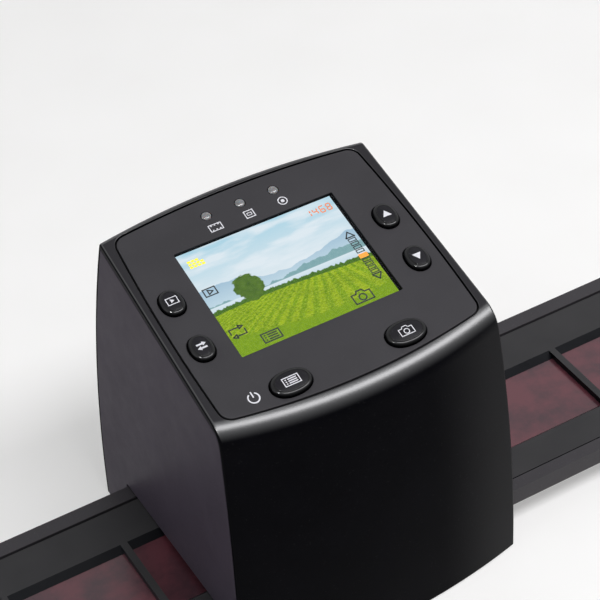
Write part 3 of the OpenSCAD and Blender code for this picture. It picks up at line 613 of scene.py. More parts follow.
SHELL = shell_material()
KEY_BODY = key_material()
CHEEK = plastic("cheek", (0.047, 0.039, 0.053), 0.5, specular=0.07, depth=0.005, mottle=0.05, dust=0.015)
FACE = plastic("faceplate", (0.034, 0.0325, 0.036), 0.55, specular=0.2, grain=0.18, depth=0.008, dust=0.012)
KEY_TOP = plastic("key_top", (0.0125, 0.012, 0.0145), 0.42, specular=0.1, grain=0.3, depth=0.006)
HOLDER = plastic("holder", (0.036, 0.033, 0.037), 0.45, specular=0.25, depth=0.006)
BASE = plastic("base", (0.02, 0.02, 0.022), 0.5, depth=0.01)
INNER = plastic("inner", (0.02, 0.02, 0.022), 0.6, depth=0.008)
DARK_BED = plastic("display_bed", (0.006, 0.006, 0.007), 0.6, specular=0.1, dust=0.0)
WHITE = plastic("white", (0.74, 0.74, 0.72), 0.5, mottle=0.04, dust=0.0)
OPAL = plastic("opal", (0.85, 0.85, 0.83), 0.45, mottle=0.03, dust=0.0)
BOARD = plastic("board", (0.02, 0.12, 0.055), 0.42, grain=0.8, depth=0.01, mottle=0.25, dust=0.0)
CHIP = plastic("chip", (0.018, 0.018, 0.019), 0.55, grain=0.12)
YELLOW = plastic("phosphor", (0.8, 0.66, 0.2), 0.4, mottle=0.06, dust=0.0)
RIBBON = plastic("ribbon", (0.6, 0.56, 0.48), 0.5, mottle=0.06, dust=0.0)
RUBBER = plastic("rubber", (0.022, 0.022, 0.023), 0.85, specular=0.25, grain=0.15, depth=0.02)
STEEL = metal("steel", (0.56, 0.56, 0.58), 0.3)
PANE = clear("pane", (0.96, 0.97, 0.98), 0.14)
GLASS = clear("glass", (0.85, 0.9, 0.95), 1.4)
INK = light_print("ink", (0.78, 0.78, 0.82))
LIT_BLACK = light_print("lit_black", (0.008, 0.012, 0.012))
LIT_ORANGE = light_print("lit_orange", (0.9, 0.27, 0.03), glow=0.8)
LIT_RED = light_print("lit_red", (0.62, 0.17, 0.06), glow=0.7)
LIT_YELLOW = light_print("lit_yellow", (0.85, 0.68, 0.03), glow=0.85)


def dome_material():
    """Cloudy plastic of the light domes, unlit."""
    shade = Shade("dome")
    haze = shade.patches(0.7, 2.0)
    shade.set(Base_Color=shade.mix(haze, (0.12, 0.12, 0.125), (0.19, 0.19, 0.195)))
    shade.set(Roughness=shade.patches(0.7, 2.0, 0.2, 0.3))
    shade.set(Coat_Weight=0.8, Coat_Roughness=0.16, Subsurface_Weight=0.3, Subsurface_Scale=1.0 * MM)
    return shade.material


def film_material():
    """Developed negative: a wine brown base with cloudy darker pictures."""
    shade = Shade("film")
    clouds = shade.noise(9.0, 5.0, roughness=0.6)
    grain = shade.noise(0.25, 2.0)
    picture = shade.mix(shade.between(clouds, 0.34, 0.62), (0.05, 0.019, 0.026), (0.13, 0.034, 0.045))
    tone = shade.mix(shade.between(grain, 0.2, 0.8, 0.0, 0.35), picture, (0.1, 0.042, 0.053))
    shade.set(Base_Color=tone, Roughness=shade.between(clouds, 0.2, 0.8, 0.16, 0.26))
    shade.bump(shade.noise(22.0, 1.0), 0.05, 0.4)
    return shade.material


def picture_material():
    """The lit picture: sky, two ridges, a lake and a striped meadow with a hedge and a tree."""
    shade = Shade("picture")
    uv = shade.put("ShaderNodeTexCoord").outputs["UV"]
    parts = shade.put("ShaderNodeSeparateXYZ", Vector=uv)
    across, up = parts.outputs[0], parts.outputs[1]
    wide = shade.put("ShaderNodeCombineXYZ", X=across, Y=0.0, Z=0.0).outputs[0]

    plus, minus, times = [partial(shade.maths, kind) for kind in ("ADD", "SUBTRACT", "MULTIPLY")]

    def ripple(scale, detail=3.0, vector=wide):
        return shade.put("ShaderNodeTexNoise", Vector=vector, Scale=scale, Detail=detail).outputs["Fac"]

    def under(height):
        """1 below that height of the picture and 0 above, with a soft edge."""
        return shade.between(minus(height, up), -0.004, 0.004, smooth=True)

    def hill(base, swing, turns, shift, rough, scale):
        """Height of a ridge: one long wave, frayed by noise."""
        wave = times(shade.maths("SINE", plus(times(across, turns), shift)), swing)
        fray = times(minus(ripple(scale), 0.5), rough)
        return plus(plus(wave, fray), base)

    drift = {"Scale": (2.0, 6.0, 1.0), "Rotation": (0.0, 0.0, 0.25)}
    clouds = shade.put("ShaderNodeMapping", Vector=uv, **drift).outputs[0]
    grass = shade.put("ShaderNodeMapping", Vector=uv, Scale=(1.0, 2.4, 1.0)).outputs[0]
    sky = shade.mix(shade.between(up, 0.5, 1.0), (0.86, 0.92, 0.95), (0.45, 0.72, 0.84))
    sky = shade.mix(shade.between(ripple(1.6, 6.0, clouds), 0.42, 0.62, 0.0, 0.85), sky, (0.86, 0.93, 0.97))
    far = shade.mix(shade.between(up, 0.45, 0.66), (0.62, 0.78, 0.86), (0.4, 0.58, 0.72))
    near = shade.mix(ripple(40.0, 4.0, uv), (0.2, 0.38, 0.42), (0.3, 0.5, 0.5))
    water = shade.mix(shade.between(up, 0.36, 0.48), (0.5, 0.7, 0.8), (0.8, 0.9, 0.94))
    hedge = shade.mix(ripple(60.0, 4.0, uv), (0.02, 0.07, 0.01), (0.14, 0.3, 0.03))
    fan = shade.maths("DIVIDE", minus(across, 0.72), minus(0.62, up))
    rows = shade.maths("SINE", times(fan, 34.0))
    field = shade.mix(shade.between(rows, -0.5, 0.5, smooth=True), (0.22, 0.4, 0.006), (0.4, 0.54, 0.012))
    for blades, low, high, most, paint in (
        (ripple(9.0, 5.0, uv), 0.35, 0.7, 0.7, (0.17, 0.3, 0.006)),
        (ripple(70.0, 3.0, uv), 0.42, 0.7, 0.75, (0.5, 0.62, 0.05)),
        (ripple(52.0, 4.0, grass), 0.5, 0.68, 0.7, (0.07, 0.17, 0.004)),
    ):
        field = shade.mix(shade.between(blades, low, high, 0.0, most), field, paint)
    shore = shade.mix(ripple(44.0, 5.0, uv), (0.12, 0.27, 0.006), (0.34, 0.5, 0.02))

    layers = (
        (hill(0.6, 0.05, 7.0, 1.0, 0.12, 6.0), far),
        (hill(0.51, 0.035, 5.0, 3.6, 0.1, 14.0), near),
        (0.475, water),
        (hill(0.43, 0.02, 4.0, 0.4, 0.07, 36.0), hedge),
        (hill(0.395, 0.02, 4.0, 0.4, 0.02, 18.0), field),
        (hill(0.16, 0.07, 3.2, 2.6, 0.05, 20.0), shore),
    )
    scene = sky
    for height, paint in layers:
        scene = shade.mix(under(height), scene, paint)

    fray = times(minus(ripple(16.0, 4.0, uv), 0.5), 0.09)
    tree_x = times(minus(across, 0.27), 1.32)
    tree_y = times(minus(up, 0.53), 0.95)
    reach = shade.maths("SQRT", plus(times(tree_x, tree_x), times(tree_y, tree_y)))
    crown = shade.between(plus(reach, fray), 0.115, 0.105, smooth=True)
    leaf = shade.mix(ripple(30.0, 3.0, uv), (0.02, 0.07, 0.012), (0.17, 0.3, 0.04))
    scene = shade.mix(crown, scene, leaf)

    shade.set(Base_Color=(0.004, 0.004, 0.005), Specular_IOR_Level=0.05)
    shade.set(Emission_Color=scene, Emission_Strength=0.95)
    shade.set(Roughness=shade.patches(3.0, 2.0, 0.3, 0.4))
    return shade.material


def cover_material():
    """Holder cover: satin on its flat top, smooth on the slopes to the film, which carry painted shade."""
    shade = Shade("holder_cover")
    flat = facing(shade, (0.0, 0.0, 1.0), 0.8, 0.95)
    blotches = shade.patches(14.0, 3.0)
    top = shade.mix(blotches, (0.038, 0.0375, 0.039), (0.046, 0.045, 0.0465))
    # Painted shade: the slopes to the film get a much darker colour than the flat top
    painted_shade_slope = shade.mix(blotches, (0.003, 0.0035, 0.005), (0.0045, 0.005, 0.007))
    shade.set(Base_Color=shade.mix(flat, painted_shade_slope, top))
    rough = shade.between(flat, 0.0, 1.0, 0.3, 0.42)
    shade.set(Roughness=shade.maths("ADD", rough, shade.smudges(-0.03, 0.04)))
    shade.set(Specular_IOR_Level=0.1)
    shade.bump(shade.noise(0.25, 2.0), 0.006)
    return shade.material


COVER = cover_material()
DOME = dome_material()
FILM = film_material()
PICTURE = picture_material()

# ---- Shell

COLUMNS = 22
EDGE_ROUND, EDGE_STEPS = 0.7, 4
# The rim's places: shares of the way down its outer side, and indents along its ledge
RIM_SHARES, RIM_INDENTS = (0.3, 0.6, 0.88), (0.12, 0.8, 1.6)
GROOVE = CHEEK_T + SEAM


def half_loop(row):
    """The right half of the shell's section along one row, from the middle of the outer skin to the
    middle of the inner skin, as (x, v, w)."""
    x_out = at_side(row, EDGE_ROUND, 0.0)[0]
    points = []
    for i in range(COLUMNS + 1):
        x = (x_out - EDGE_ROUND) * i / COLUMNS
        points.append((x, *row(x, SKIN)))
    for a in quarter(EDGE_STEPS, 1):
        x = x_out - EDGE_ROUND * (1 - math.sin(a)) - SKIN
        points.append((x, *row(x, max(EDGE_ROUND * (1 - math.cos(a)), SKIN))))
    shoulder = points[-1]
    rim = at_side(row, RIM, -RIM_DROP)
    for f in RIM_SHARES:
        v, w = lerp(shoulder[1], rim[1], f), lerp(shoulder[2], rim[2], f)
        points.append((side_x(PANEL_H + v * SIN + w * COS) - SKIN, v, w))
    for indent in (*RIM_INDENTS, GROOVE):
        points.append((rim[0] - indent, rim[1], rim[2]))
    inner_x = at_side(row, WALL, -SHELF)[0] - GROOVE
    for i in range(COLUMNS, -1, -1):
        x = inner_x * i / COLUMNS
        v, w = row(x, WALL)
        points.append((x, v, min(w, -SHELF)))
    return points


def shell_mesh():
    """The shell without its cuts: one closed loop for each row, and the two bottom edges."""
    bm = bmesh.new()
    rings = []
    for row in ROWS:
        right = half_loop(row)
        left = [(-x, v, w) for x, v, w in right[-2:0:-1]]
        rings.append([bm.verts.new(on_panel(*p)) for p in right + left])
    for low, high in zip(rings, rings[1:]):
        ring_faces(bm, low, high)
    bm.faces.new(rings[0])
    bm.faces.new(rings[-1])
    return bm


SMALL_X, UPPER_V, LOWER_V = 33.2, 4.55, -11.85
LARGE_X, LARGE_V = 17.7, -31.85
# Half width and half height of a button
SMALL, LARGE = (3.4, 4.25), (5.95, 3.95)
BUTTONS = {
    "play": (DISPLAY_X - SMALL_X, UPPER_V, *SMALL),
    "flip": (DISPLAY_X - SMALL_X, LOWER_V, *SMALL),
    "up": (SMALL_X, UPPER_V, *SMALL),
    "down": (SMALL_X, LOWER_V, *SMALL),
    "menu": (DISPLAY_X - LARGE_X, LARGE_V, *LARGE),
    "shutter": (DISPLAY_X + LARGE_X, LARGE_V, *LARGE),
}
BUTTON_GAP = 0.25
LIGHT_PITCH, LIGHT_V = 10.6, 26.9
LIGHTS = [(DISPLAY_X + i * LIGHT_PITCH, LIGHT_V) for i in (-1, 0, 1)]
LIGHT_R = 1.45
WINDOW_LINE = rounded_box(DISPLAY_X, 0, *WINDOW, 0.4)


def button_line(name):
    return oval(*BUTTONS[name])


def flared(gap, depth, radius):
    """Levels of a cut into the panel's surface whose mouth is rounded."""
    wide = gap + radius * 1.1
    mouth = [(gap + radius * (1 - math.sin(t)), -radius * (1 - math.cos(t))) for t in quarter(4, 1)]
    return [(wide, 0.5), (wide, 0.02), *mouth, (gap, -depth)]


def hole_levels(gap):
    """Levels of a straight hole through the shell's top, under the faceplate."""
    return [(gap, -PLATE_T + 0.3), (gap, -SHELF - 1)]


def port_place(x, z, dy):
    """A point at that x and z which stands off the back's skin by dy."""
    mid = z
    for _ in range(SEARCH_ROUNDS):
        v, w = mid_back(mid)
        _, y, got = on_panel(x, bowed_back(v, x), w)
        mid += z - got
    return x, y + dy, z


PLATE_MOUTH_R = 0.35
# The shell's hole for the display is wider than the window by this much
BED_GROW = 3.9
DATA_PORT = rounded_box(-20, 43.6, 8.9, 4.0, 0.8)
CARD_PORT = rounded_box(8, 43.35, 25.8, 3.5, 0.5)
PORT_LEVELS = [(0.62, 0.6), (0.62, 0.02), (0.4, -0.1), (0.2, -0.26), (0.06, -0.44)]
PORT_LEVELS += [(0.0, -0.62), (0.0, -6.0)]

shell = finish_mesh(shell_mesh(), "main_shell_skin", SHELL, "scanner", "main_shell")
cut(shell, [(plate_line(), flared(PLATE_GAP, PLATE_T, PLATE_MOUTH_R), on_panel)])
holes = [(WINDOW_LINE, hole_levels(BED_GROW), on_panel)]
holes += [(button_line(key), hole_levels(BUTTON_GAP), on_panel) for key in BUTTONS]
holes += [(circle(x, y, LIGHT_R + SEAM), hole_levels(0), on_panel) for x, y in LIGHTS]
cut(shell, holes)
cut(shell, [(line, PORT_LEVELS, port_place) for line in (DATA_PORT, CARD_PORT)])
shell.data.set_sharp_from_angle(angle=SHARP)
weigh_normals(shell)

# ---- Cheeks

SLOT_LINE = rounded_box(-6, 14, 65.2, 7.2, 0.5)
CHEEK_ROUND = 0.3
# Heights at which the cheek is split, so that it can bend
BEND_LEVELS = range(4, 108, 3)


def cheek_line(grow=0.0):
    """The cheek's outline in (y, z), along the shell's rim."""
    points = []
    inset = RIM + SEAM - grow
    for row in ROWS:
        _, v, w = at_side(row, inset, -RIM_DROP - SEAM + grow)
        _, y, z = on_panel(0, v, w)
        points.append((y, max(z, FOOT_PROUD)))
    return points


def cheek(side, name):
    """A side panel, bent to the housing's leaning side."""
    bm = bmesh.new()
    outline = (cheek_line, round_levels(0.0, CHEEK_T, CHEEK_ROUND))
    slot = (SLOT_LINE, round_levels(0.0, CHEEK_T, CHEEK_ROUND, sign=-1))
    add_solid(bm, [outline, slot], as_given)
    for level in BEND_LEVELS:
        geometry = bm.verts[:] + bm.edges[:] + bm.faces[:]
        bmesh.ops.bisect_plane(bm, geom=geometry, plane_co=(0, level, 0), plane_no=(0, 1, 0))
    for vert in bm.verts:
        y, z, h = vert.co
        vert.co = (side * (side_x(z) - SKIN - h), y, z)
    piece = finish_mesh(bm, name, CHEEK, "scanner", name.replace("_skin", ""))
    weigh_normals(piece)


cheek(-1, "left_cheek_skin")
cheek(1, "right_cheek_skin")

# ---- Faceplate, display and lights


def grown(levels, gap):
    return [(g + gap, h) for g, h in levels]


def plate_hole(radius):
    """Levels of a hole through the faceplate with rounded edges."""
    return round_levels(-PLATE_T, 0.0, radius, sign=-1)


plate_parts = [(plate_line(), round_levels(-PLATE_T, 0.0, 0.2)), (WINDOW_LINE, plate_hole(0.12))]
plate_parts += [(button_line(key), grown(plate_hole(0.15), BUTTON_GAP)) for key in BUTTONS]
plate_parts += [(circle(x, y, LIGHT_R + SEAM), plate_hole(0.1)) for x, y in LIGHTS]
plate = panel_piece("faceplate_skin", [plate_parts], FACE, "scanner", "faceplate")
weigh_normals(plate)

PANE_LOW, PANE_TOP, PANE_GAP = -1.12, -0.42, 0.1
pane = (WINDOW_LINE, grown(round_levels(PANE_LOW, PANE_TOP, 0.08), -PANE_GAP))
panel_piece("display_pane", [[pane]], PANE, "scanner", "display_window")

LCD_LOW, LCD_TOP = -3.6, -1.26
lcd = (rounded_box(DISPLAY_X, 0, 57.5, 45.0, 0.6), round_levels(LCD_LOW, LCD_TOP, 0.15))
panel_piece("lcd_body", [[lcd]], DARK_BED, "scanner", "lcd_panel")

# How far the lit picture reaches past the window on each side
PICTURE_LEFT, PICTURE_RIGHT, PICTURE_LOW, PICTURE_TOP = 0.6, -0.75, 0.6, -0.2
PICTURE_LINE = rounded_box(
    DISPLAY_X + (PICTURE_RIGHT - PICTURE_LEFT) / 2,
    (PICTURE_TOP - PICTURE_LOW) / 2,
    WINDOW[0] + PICTURE_LEFT + PICTURE_RIGHT,
    WINDOW[1] + PICTURE_LOW + PICTURE_TOP,
    radius=0.1,
    steps=1,
)
bm = bmesh.new()
add_solid(bm, [(PICTURE_LINE, [(0, -1.28), (0, -PLATE_T)])], on_panel)
uv = bm.loops.layers.uv.new("picture")
for face in bm.faces:
    for loop in face.loops:
        u, y, z = loop.vert.co
        v = in_panel(y, z)[0]
        loop[uv].uv = ((u - DISPLAY_X) / WINDOW[0] + 0.5, v / WINDOW[1] + 0.5)
finish_mesh(bm, "lcd_picture", PICTURE, "scanner")

LINER_LOW, LINER_TOP = -1.15, -0.2
liner = [(WINDOW_LINE, [(grow, LINER_LOW), (grow, LINER_TOP)]) for grow in (-0.03, -0.1)]
panel_piece("window_liner", [liner], DARK_BED, "scanner")

DOME_RIM, DOME_RISE, DOME_TURN = -0.2, 0.74, 84
LEG_R, LEG_SHIFT = 0.25, 0.9
dome = [(0.4, -5.4), (0.4, -4.6), (0.0, -4.6)]
for f in share(8):
    a = math.radians(DOME_TURN * f)
    dome.append((LIGHT_R * (math.cos(a) - 1), DOME_RIM + DOME_RISE * math.sin(a)))
solids = []
for x, y in LIGHTS:
    solids.append([(circle(x, y, LIGHT_R), dome)])
    for s in (-1, 1):
        solids.append([(circle(x + s * LEG_SHIFT, y, LEG_R, 12), [(0, -7.0), (0, -5.3)])])
panel_piece("light_domes", solids, DOME, "scanner", "indicator_lights")

# ---- Flat marks: pictograms printed on the plate and the buttons, and lit on the display


def box_mark(x, y, w, h):
    return [(x - w / 2, y - h / 2), (x + w / 2, y - h / 2), (x + w / 2, y + h / 2), (x - w / 2, y + h / 2)]


def line_mark(x0, y0, x1, y1, width):
    """A straight stroke from one point to the other."""
    dx, dy = x1 - x0, y1 - y0
    n = width / 2 / math.hypot(dx, dy)
    nx, ny = dy * n, dx * n
    return [(x0 + nx, y0 - ny), (x1 + nx, y1 - ny), (x1 - nx, y1 + ny), (x0 - nx, y0 + ny)]


def frame_marks(x, y, w, h, width):
    """The four strokes of a box outline."""
    return [
        box_mark(x, y + h / 2 - width / 2, w, width),
        box_mark(x, y - h / 2 + width / 2, w, width),
        box_mark(x - w / 2 + width / 2, y, width, h - 2 * width),
        box_mark(x + w / 2 - width / 2, y, width, h - 2 * width),
    ]


ARC_STEPS, DISC_STEPS = 20, 24


def around(x, y, radius, turns):
    return [(x + radius * math.cos(a), y + radius * math.sin(a)) for a in turns]


def arc_mark(x, y, radius, width, first, last):
    """A bent stroke, from the first to the last angle in degrees."""
    turns = [math.radians(lerp(first, last, f)) for f in share(ARC_STEPS)]
    return around(x, y, radius + width / 2, turns) + around(x, y, radius - width / 2, turns[::-1])


def disc_mark(x, y, radius):
    return around(x, y, radius, [2 * math.pi * i / DISC_STEPS for i in range(DISC_STEPS)])


def moved(marks, x, y, scale=1.0):
    return [[(x + a * scale, y + b * scale) for a, b in mark] for mark in marks]


SEGMENTS = {"1": "bc", "4": "fgbc", "6": "afgedc", "8": "abcdefg"}


def digit_marks(text, x, y, w, h, width):
    """Plain digits of straight bars."""
    bars = {s: box_mark(0, level, w, width) for s, level in (("a", h / 2), ("g", 0), ("d", -h / 2))}
    for s, x_share, y_share in ("f", -2, 4), ("b", 2, 4), ("e", -2, -4), ("c", 2, -4):
        bars[s] = box_mark(w / x_share, h / y_share, width, h / 2 - width)
    marks = []
    for i, digit in enumerate(text):
        marks += moved([bars[s] for s in SEGMENTS[digit]], x + i * (w + 2.6 * width), y)
    return marks


MARK_SUNK = 0.012


def mark_piece(name, marks, surface, material, body, lift=0.015):
    """Flat marks on the plane w = surface, as one piece."""
    levels = [(0, surface - MARK_SUNK), (0, surface + lift)]
    panel_piece(name, [[(polygon(*mark), levels)] for mark in marks], material, body)


def path_marks(points, width, closed=True):
    """Strokes along a line of points, each a little longer than its stretch so that the corners close."""
    marks = []
    ends = points[1:] + points[:1] if closed else points[1:]
    for (x0, y0), (x1, y1) in zip(points, ends):
        reach = width * 0.4 / math.hypot(x1 - x0, y1 - y0)
        dx, dy = (x1 - x0) * reach, (y1 - y0) * reach
        marks.append(line_mark(x0 - dx, y0 - dy, x1 + dx, y1 + dy, width))
    return marks


def ring_marks(x, y, radius, width):
    return [arc_mark(x, y, radius, width, a, a + 180) for a in (0, 180)]


def camera_marks(width):
    """A camera: its body with a raised finder, and the lens."""
    body = [(-2.7, -1.8), (2.7, -1.8), (2.7, 1.1), (1.3, 1.1)]
    body += [(0.8, 1.9), (-0.8, 1.9), (-1.3, 1.1), (-2.7, 1.1)]
    return path_marks(body, width) + ring_marks(0, -0.35, 1.0, width)


def menu_marks(width):
    """A page with three lines of a list."""
    bars = ((-1.75, 0.5), (0.45, 3.0))
    rows = [box_mark(x, y, w, 0.4) for x, w in bars for y in (0.75, 0.0, -0.75)]
    return frame_marks(0, 0, 5.7, 3.3, width) + rows


def play_marks(width, hollow=False):
    """A picture frame with a play arrow in it."""
    arrow = [(-0.6, -0.8), (0.9, 0.0), (-0.6, 0.8)]
    return frame_marks(0, 0, 4.3, 3.1, width) + (path_marks(arrow, width) if hollow else [arrow])


def flip_marks(width):
    """Two arrows that pass each other."""
    marks = []
    head = 0.8
    for s in (-1, 1):
        y = s * head * 0.92
        marks.append(line_mark(-s * 1.6, y, s * 0.7, y, width))
        marks.append([(s * 0.45, y - head), (s * 1.75, y), (s * 0.45, y + head)][::s])
    return marks


def turn_marks(width):
    """Two hooked outline arrows that follow each other round a picture."""
    marks = []
    for s in (-1, 1):
        tail = [(-s * 2.1, -s * 0.2), (-s * 2.1, s * 1.3), (s * 0.9, s * 1.3)]
        marks += path_marks(tail, width, closed=False)
        marks += path_marks([(s * 0.8, s * 0.7), (s * 2.0, s * 1.3), (s * 0.8, s * 1.9)], width)
    return marks


UP_MARKS = [[(-1.55, -0.95), (1.55, -0.95), (0, 1.45)]]
DOWN_MARKS = [[(-1.55, 0.95), (0, -1.45), (1.55, 0.95)]]
KEY_INK, FLIP_INK = 0.33, 0.62
# The marks of each button, and their scale
KEY_MARKS = {
    "play": (play_marks(KEY_INK), 0.79),
    "flip": (flip_marks(FLIP_INK), 0.85),
    "up": (UP_MARKS, 0.88),
    "down": (DOWN_MARKS, 0.88),
    "menu": (menu_marks(KEY_INK), 0.86),
    "shutter": (camera_marks(KEY_INK), 0.76),
}

# ---- Buttons

BUTTON_TOP = 1.4
FLANGE, FLANGE_LOW, FLANGE_TOP = 0.8, -3.9, -3.1
STEM_R, STEM_LOW = 1.3, -4.35
BAND_LOW, BAND_POWER, BAND_STEPS = 0.35, 0.9, 9
TOP_INSET, CAP_GAP = 1.1, 0.12
LIP, LIP_STEPS = 0.16, 4


def key_side():
    """Levels of a button's side: the skirt, the curved band above the plate, and the lip round the top."""
    levels = [(FLANGE, FLANGE_LOW), (FLANGE, FLANGE_TOP), (-SKIN, FLANGE_TOP), (-SKIN, BAND_LOW)]
    lip_low = BUTTON_TOP - LIP
    for a in quarter(BAND_STEPS, 1)[:-1]:
        inset = (TOP_INSET - LIP) * (1 - math.cos(a)) ** BAND_POWER
        levels.append((-inset, lerp(BAND_LOW, lip_low, math.sin(a))))
    for a in quarter(LIP_STEPS):
        levels.append((-TOP_INSET + LIP * math.cos(a), lip_low + LIP * math.sin(a)))
    return levels + [(-TOP_INSET - 0.08, BUTTON_TOP), (-TOP_INSET - 0.1, BUTTON_TOP - 0.08)]


for key, (x, y, half_x, half_y) in BUTTONS.items():
    body = key + "_key"
    cap = (button_line(key), key_side())
    stem = (circle(x, y, STEM_R), [(0, STEM_LOW), (0, FLANGE_LOW + 0.1)])
    panel_piece(key + "_body", [[cap], [stem]], KEY_BODY, body, key + "_button")
    inset = TOP_INSET + CAP_GAP
    top_levels = [(0, 0.6), (0, BUTTON_TOP - 0.04), (-0.05, BUTTON_TOP - 0.01)]
    top = (oval(x, y, half_x - inset, half_y - inset), top_levels)
    panel_piece(key + "_top", [[top]], KEY_TOP, body)
    marks, scale = KEY_MARKS[key]
    ink = moved(marks, x, y, scale)
    mark_piece(key + "_mark", ink, BUTTON_TOP - 0.01, INK, body, lift=0.01)

# ---- Marks on the plate and on the display

POWER_AT = (-29.4, -31.5)
LABEL_V, LABEL_SHIFT = 22.3, 0.5
power = moved([arc_mark(0, 0, 1.55, 0.4, -240, 60), line_mark(0, 0.1, 0, 2.0, 0.4)], *POWER_AT)
sprockets = [box_mark(a, b, 0.42, 0.32) for a in (-1.1, 0.0, 1.1) for b in (-0.75, 0.75)]
roll_icon = frame_marks(0, 0, 4.0, 2.5, 0.26) + sprockets
slide_icon = frame_marks(0, 0, 3.0, 2.7, 0.3) + frame_marks(0, 0, 1.5, 1.0, 0.22)
tone_icon = [disc_mark(0, 0, 0.55)] + ring_marks(0, 0, 1.3, 0.3)
labels = []
for icon, (x, _) in zip((roll_icon, slide_icon, tone_icon), LIGHTS):
    labels += moved(icon, x + LABEL_SHIFT, LABEL_V)
mark_piece("plate_marks", power + labels, 0.0, INK, "scanner")


def on_screen(name, marks, material):
    """Lit marks on the picture, placed from the middle of the display."""
    mark_piece(name, moved(marks, DISPLAY_X, 0), -PLATE_T, material, "scanner", lift=0.03)


SCREEN_INK = 0.4
SCALE_X, SCALE_V, CELL_PITCH, CELLS = 22.0, -3.5, 1.42, 4
keys = moved(play_marks(SCREEN_INK, hollow=True), -21.7, 4.3, 0.92)
keys += moved(turn_marks(SCREEN_INK), -21.5, -10.6)
keys += moved(menu_marks(SCREEN_INK), -14.1, -15.7)
keys += moved(camera_marks(SCREEN_INK), 14.4, -15.3, 1.05)
for s in (-1, 1):
    for i in range(1, CELLS + 1):
        keys += frame_marks(SCALE_X, SCALE_V + s * (0.3 + i * CELL_PITCH), 2.5, 1.2, 0.28)
    foot = SCALE_V + s * (0.6 + (CELLS + 0.5) * CELL_PITCH)
    head = [(SCALE_X - 1.35, foot), (SCALE_X + 1.35, foot), (SCALE_X, foot + s * 1.9)]
    keys += path_marks(head, SCREEN_INK)
on_screen("screen_keys", keys, LIT_BLACK)
on_screen("screen_cell", [box_mark(SCALE_X, SCALE_V, 2.7, 1.45)], LIT_ORANGE)
on_screen("screen_count", digit_marks("1468", 15.7, 15.6, 1.25, 2.2, 0.36), LIT_RED)
# A grid of cells with one corner left out stands for the resolution label
cells = [(a, b) for a in range(4) for b in (-1, 0, 1)]
cells.remove((3, 1))
grid = [box_mark(-22.2 + 1.2 * a, 14.6 + 0.95 * b, 0.95, 0.7) for a, b in cells]
on_screen("screen_grid", grid, LIT_YELLOW)

# ---- CAD nodes that keep their shape, with broken edges


def refine(node, material, width):
    """A copy of a CAD node's mesh with welded faces and bevelled edges, which stands for the node."""
    bm = bmesh.new()
    bm.from_mesh(frame["nodes"][node].data)
    bmesh.ops.scale(bm, vec=(1 / MM,) * 3, verts=bm.verts)
    bmesh.ops.remove_doubles(bm, verts=bm.verts, dist=0.002)
    bmesh.ops.dissolve_limit(bm, angle_limit=math.radians(0.6), verts=bm.verts, edges=bm.edges)
    body = frame["nodes"][node]["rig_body"]
    piece = finish_mesh(bm, node + "_skin", material, body, node)
    if width:
        bevel = piece.modifiers.new("edges", "BEVEL")
        bevel.width = width * MM
        bevel.segments = 2
        bevel.limit_method = "ANGLE"
        bevel.angle_limit = SHARP
    weigh_normals(piece)


# Node, material, slot and width of the bevel
REFINED = [
    ("base_plate", BASE, "shell_plastic", 0.15),
    ("rubber_feet", RUBBER, "rubber", 0.3),
    ("base_screws", STEEL, "steel", 0.06),
    ("holder_base", HOLDER, "holder_plastic", 0.3),
    ("holder_cover", COVER, "holder_plastic", 0.15),
    ("hinge_pins", STEEL, "steel", 0.1),
    ("film_strip", FILM, "film", 0.0),
    ("data_socket", STEEL, "steel", 0.1),
    ("card_socket", STEEL, "steel", 0.1),
    ("lower_track", INNER, "inner_black", 0.15),
    ("light_tunnel", INNER, "inner_black", 0.15),
]
for node, material, slot, width in REFINED:
    refine(node, material, width)

# Material, slot and the CAD nodes that show as they are
PLAIN = [
    (WHITE, "white_plastic", ["display_frame", "backlight_box", "led_board"]),
    (BOARD, "circuit_board", ["main_board", "sensor_board", "socket_board"]),
    (CHIP, "chip_black", ["main_chips", "tact_switches", "image_sensor"]),
    (STEEL, "steel", ["board_screws", "track_screws", "sensor_screws", "socket_screws", "detent_spring"]),
    (YELLOW, "led_yellow", ["backlight_leds"]),
    (OPAL, "opal_plastic", ["diffuser"]),
    (RIBBON, "ribbon", ["backlight_cable", "sensor_ribbon", "socket_ribbon"]),
    (INNER, "inner_black", ["lens_mount", "lens_barrel"]),
    (GLASS, "lens_glass", ["lens_elements"]),
]
for material, slot, nodes in PLAIN:
    for node in nodes:
        piece = frame["nodes"][node]
        piece.data.materials.clear()
        piece.data.materials.append(material)

# ---- Stage: floor, world, lights and camera

FLOOR_SIZE, FLOOR_GLOW = 3000, 0.39
WORLD_LIGHT = 0.25


def seen_directly(tree):
    """1 for the camera and for rays that come by way of a mirror or glass, 0 for the rest."""
    rays = tree.nodes.new("ShaderNodeLightPath").outputs
    seen = rays["Is Camera Ray"]
    for name in ("Is Glossy Ray", "Is Transmission Ray"):
        larger = tree.nodes.new("ShaderNodeMath")
        larger.operation = "MAXIMUM"
        tree.links.new(seen, larger.inputs[0])
        tree.links.new(rays[name], larger.inputs[1])
        seen = larger.outputs[0]
    return seen


def floor_material():
    """Pale floor that keeps the shadow: a little light of its own where it is seen."""
    shade = Shade("floor")
    tint = shade.mix(shade.patches(40.0, 3.0), (0.6, 0.595, 0.585), (0.63, 0.625, 0.615))
    shade.set(Base_Color=tint, Roughness=shade.patches(40.0, 3.0, 0.7, 0.8))
    shade.set(Specular_IOR_Level=0.2, Emission_Color=(1.0, 0.995, 0.985))
    shade.set(Emission_Strength=shade.maths("MULTIPLY", seen_directly(shade.tree), FLOOR_GLOW))
    return shade.material


FLOOR_LINE = rounded_box(0, 0, FLOOR_SIZE, FLOOR_SIZE, 200)
bm = bmesh.new()
add_solid(bm, [(FLOOR_LINE, [(0, -20), (0, 0)])], as_given)
floor = finish_mesh(bm, "floor", floor_material())


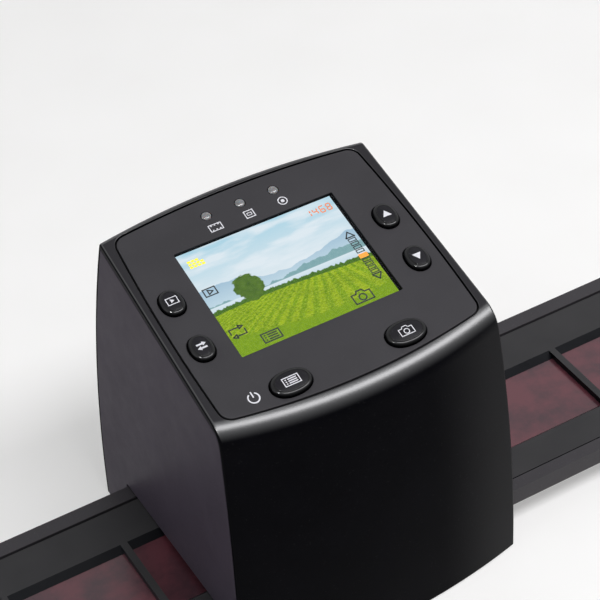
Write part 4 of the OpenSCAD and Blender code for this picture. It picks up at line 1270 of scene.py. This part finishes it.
def studio_world():
    """White where it is seen, and a dimmer light on the object."""
    world = bpy.data.worlds.new("studio")
    world.use_nodes = True
    tree = world.node_tree
    level = tree.nodes.new("ShaderNodeMapRange")
    level.inputs["To Min"].default_value = WORLD_LIGHT
    tree.links.new(seen_directly(tree), level.inputs["Value"])
    tree.links.new(level.outputs[0], tree.nodes["Background"].inputs["Strength"])
    tree.nodes["Background"].inputs["Color"].default_value = (0.97, 0.98, 1.0, 1.0)
    return world


bpy.context.scene.world = studio_world()


def area_light(name, place, target, size, power, color=(1.0, 1.0, 1.0)):
    """A soft box whose long side lies level, along X where it can."""
    light = bpy.data.lights.new(name, "AREA")
    light.shape = "RECTANGLE"
    light.size, light.size_y = size
    light.energy = power
    light.color = color
    lamp = bpy.data.objects.new(name, light)
    bpy.context.scene.collection.objects.link(lamp)
    back = (Vector(place) - Vector(target)).normalized()
    along = (Vector((1, 0, 0)) - back * back.x).normalized()
    turn = Matrix((along, back.cross(along), back)).transposed().to_4x4()
    lamp.matrix_world = Matrix.Translation(place) @ turn
    return lamp


area_light("key", (0.36, -0.47, 0.98), (0.0, -0.03, 0.1), (1.0, 0.3), 10.6, (0.985, 0.98, 1.0))
area_light("fill", (-1.1, 0.1, 0.5), (0.0, 0.0, 0.05), (0.5, 0.8), 3.0, (0.97, 0.98, 1.0))
spark = area_light("spark", (-0.52, -0.45, 0.83), (0.0, 0.0, 0.1), (0.07, 0.07), 7.0)
spark.visible_diffuse = False

# The camera, solved from the display's corners in the photograph
CAMERA_AT = (-0.19235, -0.36027, 0.43148)
FORWARD = Vector((0.36322009, 0.67235891, -0.64498423)).normalized()
ROLL = math.radians(-3.485)
FOCAL_LENGTH, SENSOR = 117.0, 36.0
level_right = FORWARD.cross(Vector((0, 0, 1))).normalized()
level_up = level_right.cross(FORWARD)
right = level_right * math.cos(ROLL) + level_up * math.sin(ROLL)
up = level_up * math.cos(ROLL) - level_right * math.sin(ROLL)
lens = bpy.data.cameras.new("camera")
lens.lens, lens.sensor_width = FOCAL_LENGTH, SENSOR
lens.shift_y = -1 / 600
lens.clip_start, lens.clip_end = 0.01, 20.0
camera = bpy.data.objects.new("camera", lens)
bpy.context.scene.collection.objects.link(camera)
turn = Matrix((right, up, -FORWARD)).transposed().to_4x4()
camera.matrix_world = Matrix.Translation(CAMERA_AT) @ turn
bpy.context.scene.camera = camera
bpy.context.scene.view_settings.view_transform = "Standard"
